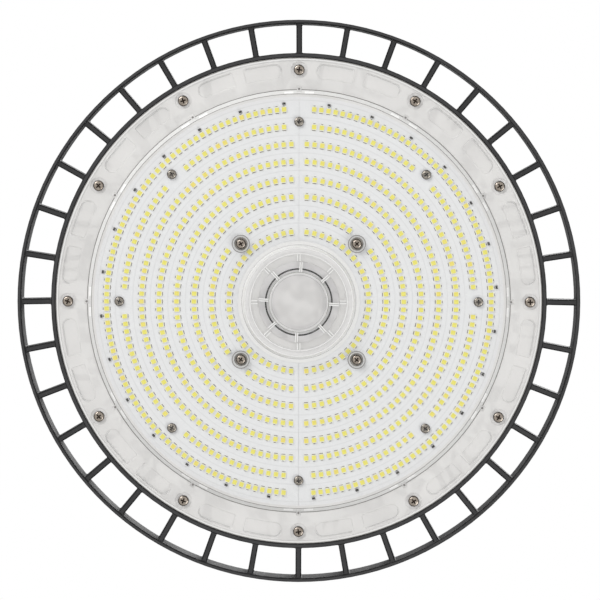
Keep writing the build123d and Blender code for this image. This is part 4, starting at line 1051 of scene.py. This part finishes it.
@dataclass
class PaintedEdgeLines:
    """Painted highlights, glints and shade lines as thin pieces on the clear mouldings' rounded edges,
    gate marks and pockets.
    """

    ribs: int = 8
    bosses: int = 4
    boss_circle_mm: float = 46.8
    gates: int = 12
    gate_circle_mm: float = 121.2
    # Two bars of painted glint beside each gate
    bar_start_mm: float = 118.7
    bar_stop_mm: float = 119.9
    bar_length_mm: float = 5.2
    bar_gap_mm: float = 3.2
    bar_front_mm: float = 5.88
    bar_fall_mm: float = 1.32
    bar_thickness_mm: float = 0.1
    segments: int = 96
    # Rings on the port, the window's step and the flange's rim: the lit and soft ones are painted
    # highlights and painted light, the grey and dark ones painted shade and painted shadow lines
    round_bands: tuple[Band, ...] = (
        Band(32.85, 34.7, 5.6, PaintedTone.SOFT_LIGHT), Band(31.3, 32.3, 2.3, PaintedTone.LIT, fall=2.12),
        Band(30.6, 31.25, 2.2, PaintedTone.SOFT_LIGHT), Band(28.4, 28.7, 2.2, PaintedTone.SHADE_LINE),
        Band(27.35, 27.85, 2.2, PaintedTone.SOFT_LIGHT), Band(16.3, 16.75, 1.15, PaintedTone.SOFT_LIGHT),
        Band(15.4, 15.6, 1.0, PaintedTone.SHADE_LINE), Band(118.3, 118.56, 5.6, PaintedTone.SHADOW_LINE),
        Band(118.65, 120.65, 5.9, PaintedTone.LIT, fall=2.2), Band(120.7, 121.1, 8.16, PaintedTone.SHADOW_LINE, fall=0.44),
        Band(137.7, 138.6, 8.5, PaintedTone.SOFT_LIGHT), Band(138.62, 139.0, 8.5, PaintedTone.SHADOW_LINE))
    # Painted shade rings round each boss's mouth
    boss_bands: tuple[Band, ...] = (
        Band(3.95, 4.7, 5.6, PaintedTone.SHADE_LINE), Band(4.7, 5.15, 5.6, PaintedTone.SHADOW_LINE))
    # A gate mark, drawn as a spot of painted shade
    gate_band: Band = Band(0.0, 0.6, 6.55, PaintedTone.SHADOW_LINE)
    # Painted highlights and shade lines on the ribs of the port's collar and cap
    rib_sets: tuple[RibSet, ...] = (
        RibSet(23.4, 27.2, 1.9, 2.8), RibSet(17.25, 22.9, 1.7, 1.9, turn_deg=3.5))
    pocket_line: PocketLine = PocketLine()
    shape: Shape = field(default_factory=bmesh.new)

    def tube(self, band: Band, centre: Vector) -> None:
        """Adds one band as a closed flat tube.

        Args:
            band: its radii, height and tone.
            centre: the middle of the band, at height zero.
        """
        back, front = band.front * MM, (band.front - band.thickness) * MM
        fall = band.fall * MM
        profile = [(band.inner * MM, back), (band.outer * MM, back + fall),
                   (band.outer * MM, front + fall), (band.inner * MM, front)]
        revolve(self.shape, profile, self.segments, Matrix.Translation(centre), band.edge.value,
                looped=True)

    def bar(self, across: Point, heights: Point, along: Point, turn: float,
            edge: PaintedTone, fall: float = 0.0) -> None:
        """Adds a closed flat bar along a radius. Its sizes are in metres.

        Args:
            across: how far its two sides lie from the radius.
            heights: its back and its front.
            along: the radii of its inner and outer end.
            turn: the radius's angle in radians.
            edge: its tone.
            fall: how far the outer end lies above the inner one.
        """
        place = Matrix.Rotation(turn, 4, "Z")
        (near, far), (back, front), (start, stop) = across, heights, along
        outline = ((near, back), (far, back), (far, front), (near, front))
        skin(self.shape, [[self.shape.verts.new(place @ Vector((x, y, z + rise))) for y, z in outline]
                     for x, rise in ((start, 0.0), (stop, fall))], edge.value)

    def ribbon(self, line: PocketLine, course: Sequence[Vector]) -> None:
        """Adds a closed flat strip along a course.

        Args:
            line: its width, height and tone.
            course: its points, at height zero.
        """
        back, front = line.front * MM, (line.front - line.thickness) * MM
        sections = []
        for i, point in enumerate(course):
            along = course[min(i + 1, len(course) - 1)] - course[max(i - 1, 0)]
            across = Vector((-along.y, along.x, 0)).normalized() * line.width / 2 * MM
            sections.append([self.shape.verts.new(point + across * share + Vector((0, 0, height)))
                             for share, height in ((-1, back), (1, back), (1, front), (-1, front))])
        skin(self.shape, sections, line.edge.value)

    def rib(self, ribs: RibSet, turn: float) -> None:
        """Adds the top of a rib: a painted shade line on its flat middle, and a painted highlight on
        the rounded edge on each side.

        Args:
            ribs: the sizes of the set.
            turn: the rib's angle in radians.
        """
        half, flat = ribs.width / 2 * MM, (ribs.width / 2 - ribs.fillet) * MM
        heights = (ribs.top * MM, (ribs.top - ribs.thickness) * MM)
        along = (ribs.inner * MM, ribs.outer * MM)
        for across, edge in (((-half, -flat), PaintedTone.LIT), ((-flat, flat), PaintedTone.SHADE_LINE),
                             ((flat, half), PaintedTone.LIT)):
            self.bar(across, heights, along, turn, edge)

    def gate(self, turn: float) -> None:
        """Adds a gate mark, drawn as a spot of painted shade, and the two bars of painted glint beside
        it.

        Args:
            turn: the gate's angle in radians.
        """
        self.tube(self.gate_band, polar(self.gate_circle_mm * MM, turn))
        start, length = self.bar_start_mm * MM, self.bar_length_mm * MM
        back = self.bar_front_mm * MM
        heights = (back, back - self.bar_thickness_mm * MM)
        for side in (1, -1):
            near = side * self.bar_gap_mm * MM
            far = near + side * length
            self.bar((-length / 2, length / 2), heights, (start, self.bar_stop_mm * MM),
                     turn + (near + far) / 2 / start, PaintedTone.GLINT, self.bar_fall_mm * MM)

    def build(self) -> bpy.types.Object:
        """Adds every band, rib, gate mark and pocket line of painted light and shade and returns them
        as one piece.
        """
        for band in self.round_bands:
            self.tube(band, Vector((0, 0, 0)))
        for turn in turns(self.bosses, 0.5):
            for band in self.boss_bands:
                self.tube(band, polar(self.boss_circle_mm * MM, turn))
        for ribs in self.rib_sets:
            for turn in turns(self.ribs):
                self.rib(ribs, turn + math.radians(ribs.turn_deg))
        for turn in turns(self.gates):
            self.gate(turn)
        for turn in turns(self.pocket_line.sectors, 0.5):
            for side in (1, -1):
                self.ribbon(self.pocket_line, self.pocket_line.path(turn, side))
        bmesh.ops.recalc_face_normals(self.shape, faces=self.shape.faces)
        tones = [PAINTED_HIGHLIGHT, PAINTED_SOFT_LIGHT, PAINTED_SHADE_LINE, PAINTED_SHADOW_LINE, PAINTED_GLINT]
        return new_piece("painted_light_and_shade_lines", self.shape, tones, "clear_polycarbonate")


@dataclass
class LensAssembly:
    """Lens cover, its gasket and screws, and the sensor port in its middle."""

    def build(self) -> None:
        """Dresses the mouldings and builds their screws."""
        dress(LENS, "lens_cover")
        dress(PORT_CAP, "sensor_port_cap")
        dress(WHITE_SILICONE, "lens_gasket")
        dress(BLACK_RUBBER, "sensor_port_seal")
        dress(GREY_RUBBER, "boss_seals")
        dress(WHITE_NYLON, "sensor_socket")
        PaintedEdgeLines().build()
        ScrewGroup("rim_screws", PLATED_STEEL, "plated_steel", 2.3, 1.5, Drive.CROSS).build()
        ScrewGroup("boss_screws", PLATED_STEEL, "plated_steel", 2.2, 1.5, Drive.CROSS).build()


@dataclass
class Castings:
    """Heat sink, driver housing and lid, with the seals between them."""

    def build(self) -> None:
        """Dresses the castings and builds the lid's screws."""
        dress(CASTING, "heat_sink")
        dress(POWDER_COAT, "driver_housing", "housing_lid")
        dress(BLACK_RUBBER, "lid_gasket", "wire_seal")
        dress(BLACK_STEEL, "housing_screws")
        ScrewGroup("lid_screws", BLACK_STEEL, "black_oxide_steel", 2.6, 2.0, Drive.SOCKET,
                   head_up=True).build()


@dataclass
class Fittings:
    """Hanging eye, cable gland and breather valve."""

    def build(self) -> None:
        """Dresses the fittings."""
        dress(ZINC_STEEL, "hanging_eye", "eye_washer", "eye_nut")
        dress(BLACK_NYLON, "gland_body", "gland_cap", "gland_nut", "breather_valve")
        dress(BLACK_RUBBER, "gland_seal")


@dataclass
class Driver:
    """The driver inside the housing, out of sight."""

    def build(self) -> None:
        """Dresses the driver's pieces."""
        dress(GREEN_LAMINATE, "driver_board")
        dress(PLATED_STEEL, "board_spacers", "driver_screws")
        dress(YELLOW_TAPE, "transformer")
        dress(BLACK_SLEEVE, "capacitors")
        dress(FERRITE, "filter_choke")
        dress(WHITE_NYLON, "terminal_block")


@dataclass(frozen=True)
class Lamp:
    """A soft square lamp that faces the light: its place and side in metres, its power in watts."""

    name: str
    place: tuple[float, float, float]
    side: float
    power: float

    def build(self) -> None:
        """Makes the lamp and turns it to the light."""
        data = bpy.data.lights.new(self.name, "AREA")
        data.size = self.side
        data.energy = self.power
        holder = scene_object(self.name, data)
        holder.location = self.place
        holder.rotation_euler = (-Vector(self.place)).to_track_quat("-Z", "Y").to_euler()


@dataclass
class Stage:
    """Camera, lamps, world and floor. The light hangs high above the floor."""

    distance: float = 1.40
    tilt_deg: float = 2.6
    pan_deg: float = 0.3
    roll_deg: float = 0.1
    aim_mm: tuple[float, float, float] = (0.7, -1.18, 4.0)
    focal_px: float = 2457.0
    picture_px: float = 600.0
    sensor_mm: float = 36.0
    floor_z: float = -2.6
    floor_reach: float = 9.0
    ambient: str = "#cdcdcd"
    backdrop: str = "#ffffff"
    lamps: tuple[Lamp, ...] = (
        Lamp("lamp_key", (-1.3, -1.5, -1.6), 1.2, 38.0), Lamp("lamp_fill", (1.5, 1.1, -1.7), 1.2, 21.0),
        Lamp("lamp_above", (0.9, -1.1, 2.0), 1.6, 60.0), Lamp("lamp_side", (-1.9, 1.2, 0.7), 1.2, 20.0))

    def camera(self) -> None:
        """Sets the camera under the light, close to its axis, with -Y at the top of the picture."""
        tilt, pan = math.radians(self.tilt_deg), math.radians(self.pan_deg)
        aim = Vector(self.aim_mm) * MM
        away = Vector((math.sin(pan), -math.sin(tilt), -math.cos(tilt))).normalized()
        right = Vector((0, -1, 0)).cross(away).normalized()
        right.rotate(Quaternion(away, math.radians(self.roll_deg)))
        data = bpy.data.cameras.new("camera")
        data.sensor_width = self.sensor_mm
        data.lens = self.focal_px / self.picture_px * self.sensor_mm
        place = Matrix((right, away.cross(right), away)).transposed().to_4x4()
        place.translation = aim + away * self.distance
        holder = scene_object("camera", data)
        holder.matrix_world = place
        bpy.context.scene.camera = holder

    def world(self) -> None:
        """Makes a world that is white to the eye and a soft grey as a lamp."""
        world = bpy.data.worlds.new("studio")
        world.use_nodes = True
        tree = world.node_tree
        tree.nodes.clear()
        rays = add_node(tree, "LightPath").outputs
        seen = any_of(tree, rays["Is Camera Ray"], rays["Is Glossy Ray"], rays["Is Transmission Ray"])
        colour = add_node(tree, "Mix", {"data_type": "RGBA"}, {
            "Factor": seen, 6: linear(self.ambient), 7: linear(self.backdrop)})
        sky = add_node(tree, "Background", inputs={"Color": colour.outputs[2], "Strength": 1.0})
        add_node(tree, "OutputWorld", inputs={"Surface": sky})
        bpy.context.scene.world = world

    def floor(self) -> None:
        """Lays the floor far below the light."""
        shape = bmesh.new()
        bmesh.ops.create_grid(shape, x_segments=4, y_segments=4, size=self.floor_reach)
        bmesh.ops.translate(shape, verts=shape.verts, vec=(0, 0, self.floor_z))
        floor = mesh_object("floor", shape, [FLOOR_PAINT])

    def build(self) -> None:
        """Sets up the whole stage."""
        self.camera()
        self.world()
        self.floor()
        for lamp in self.lamps:
            lamp.build()
        bpy.context.scene.view_settings.view_transform = "Standard"


def main() -> None:
    """Builds the light and its stage."""
    logging.basicConfig(level=logging.INFO, format="%(message)s")
    for part in (Stage(), Castings(), LensAssembly(), LightEngine(), Fittings(), Driver()):
        part.build()
        LOG.info("%s done", type(part).__name__)


if __name__ == "__main__":
    main()
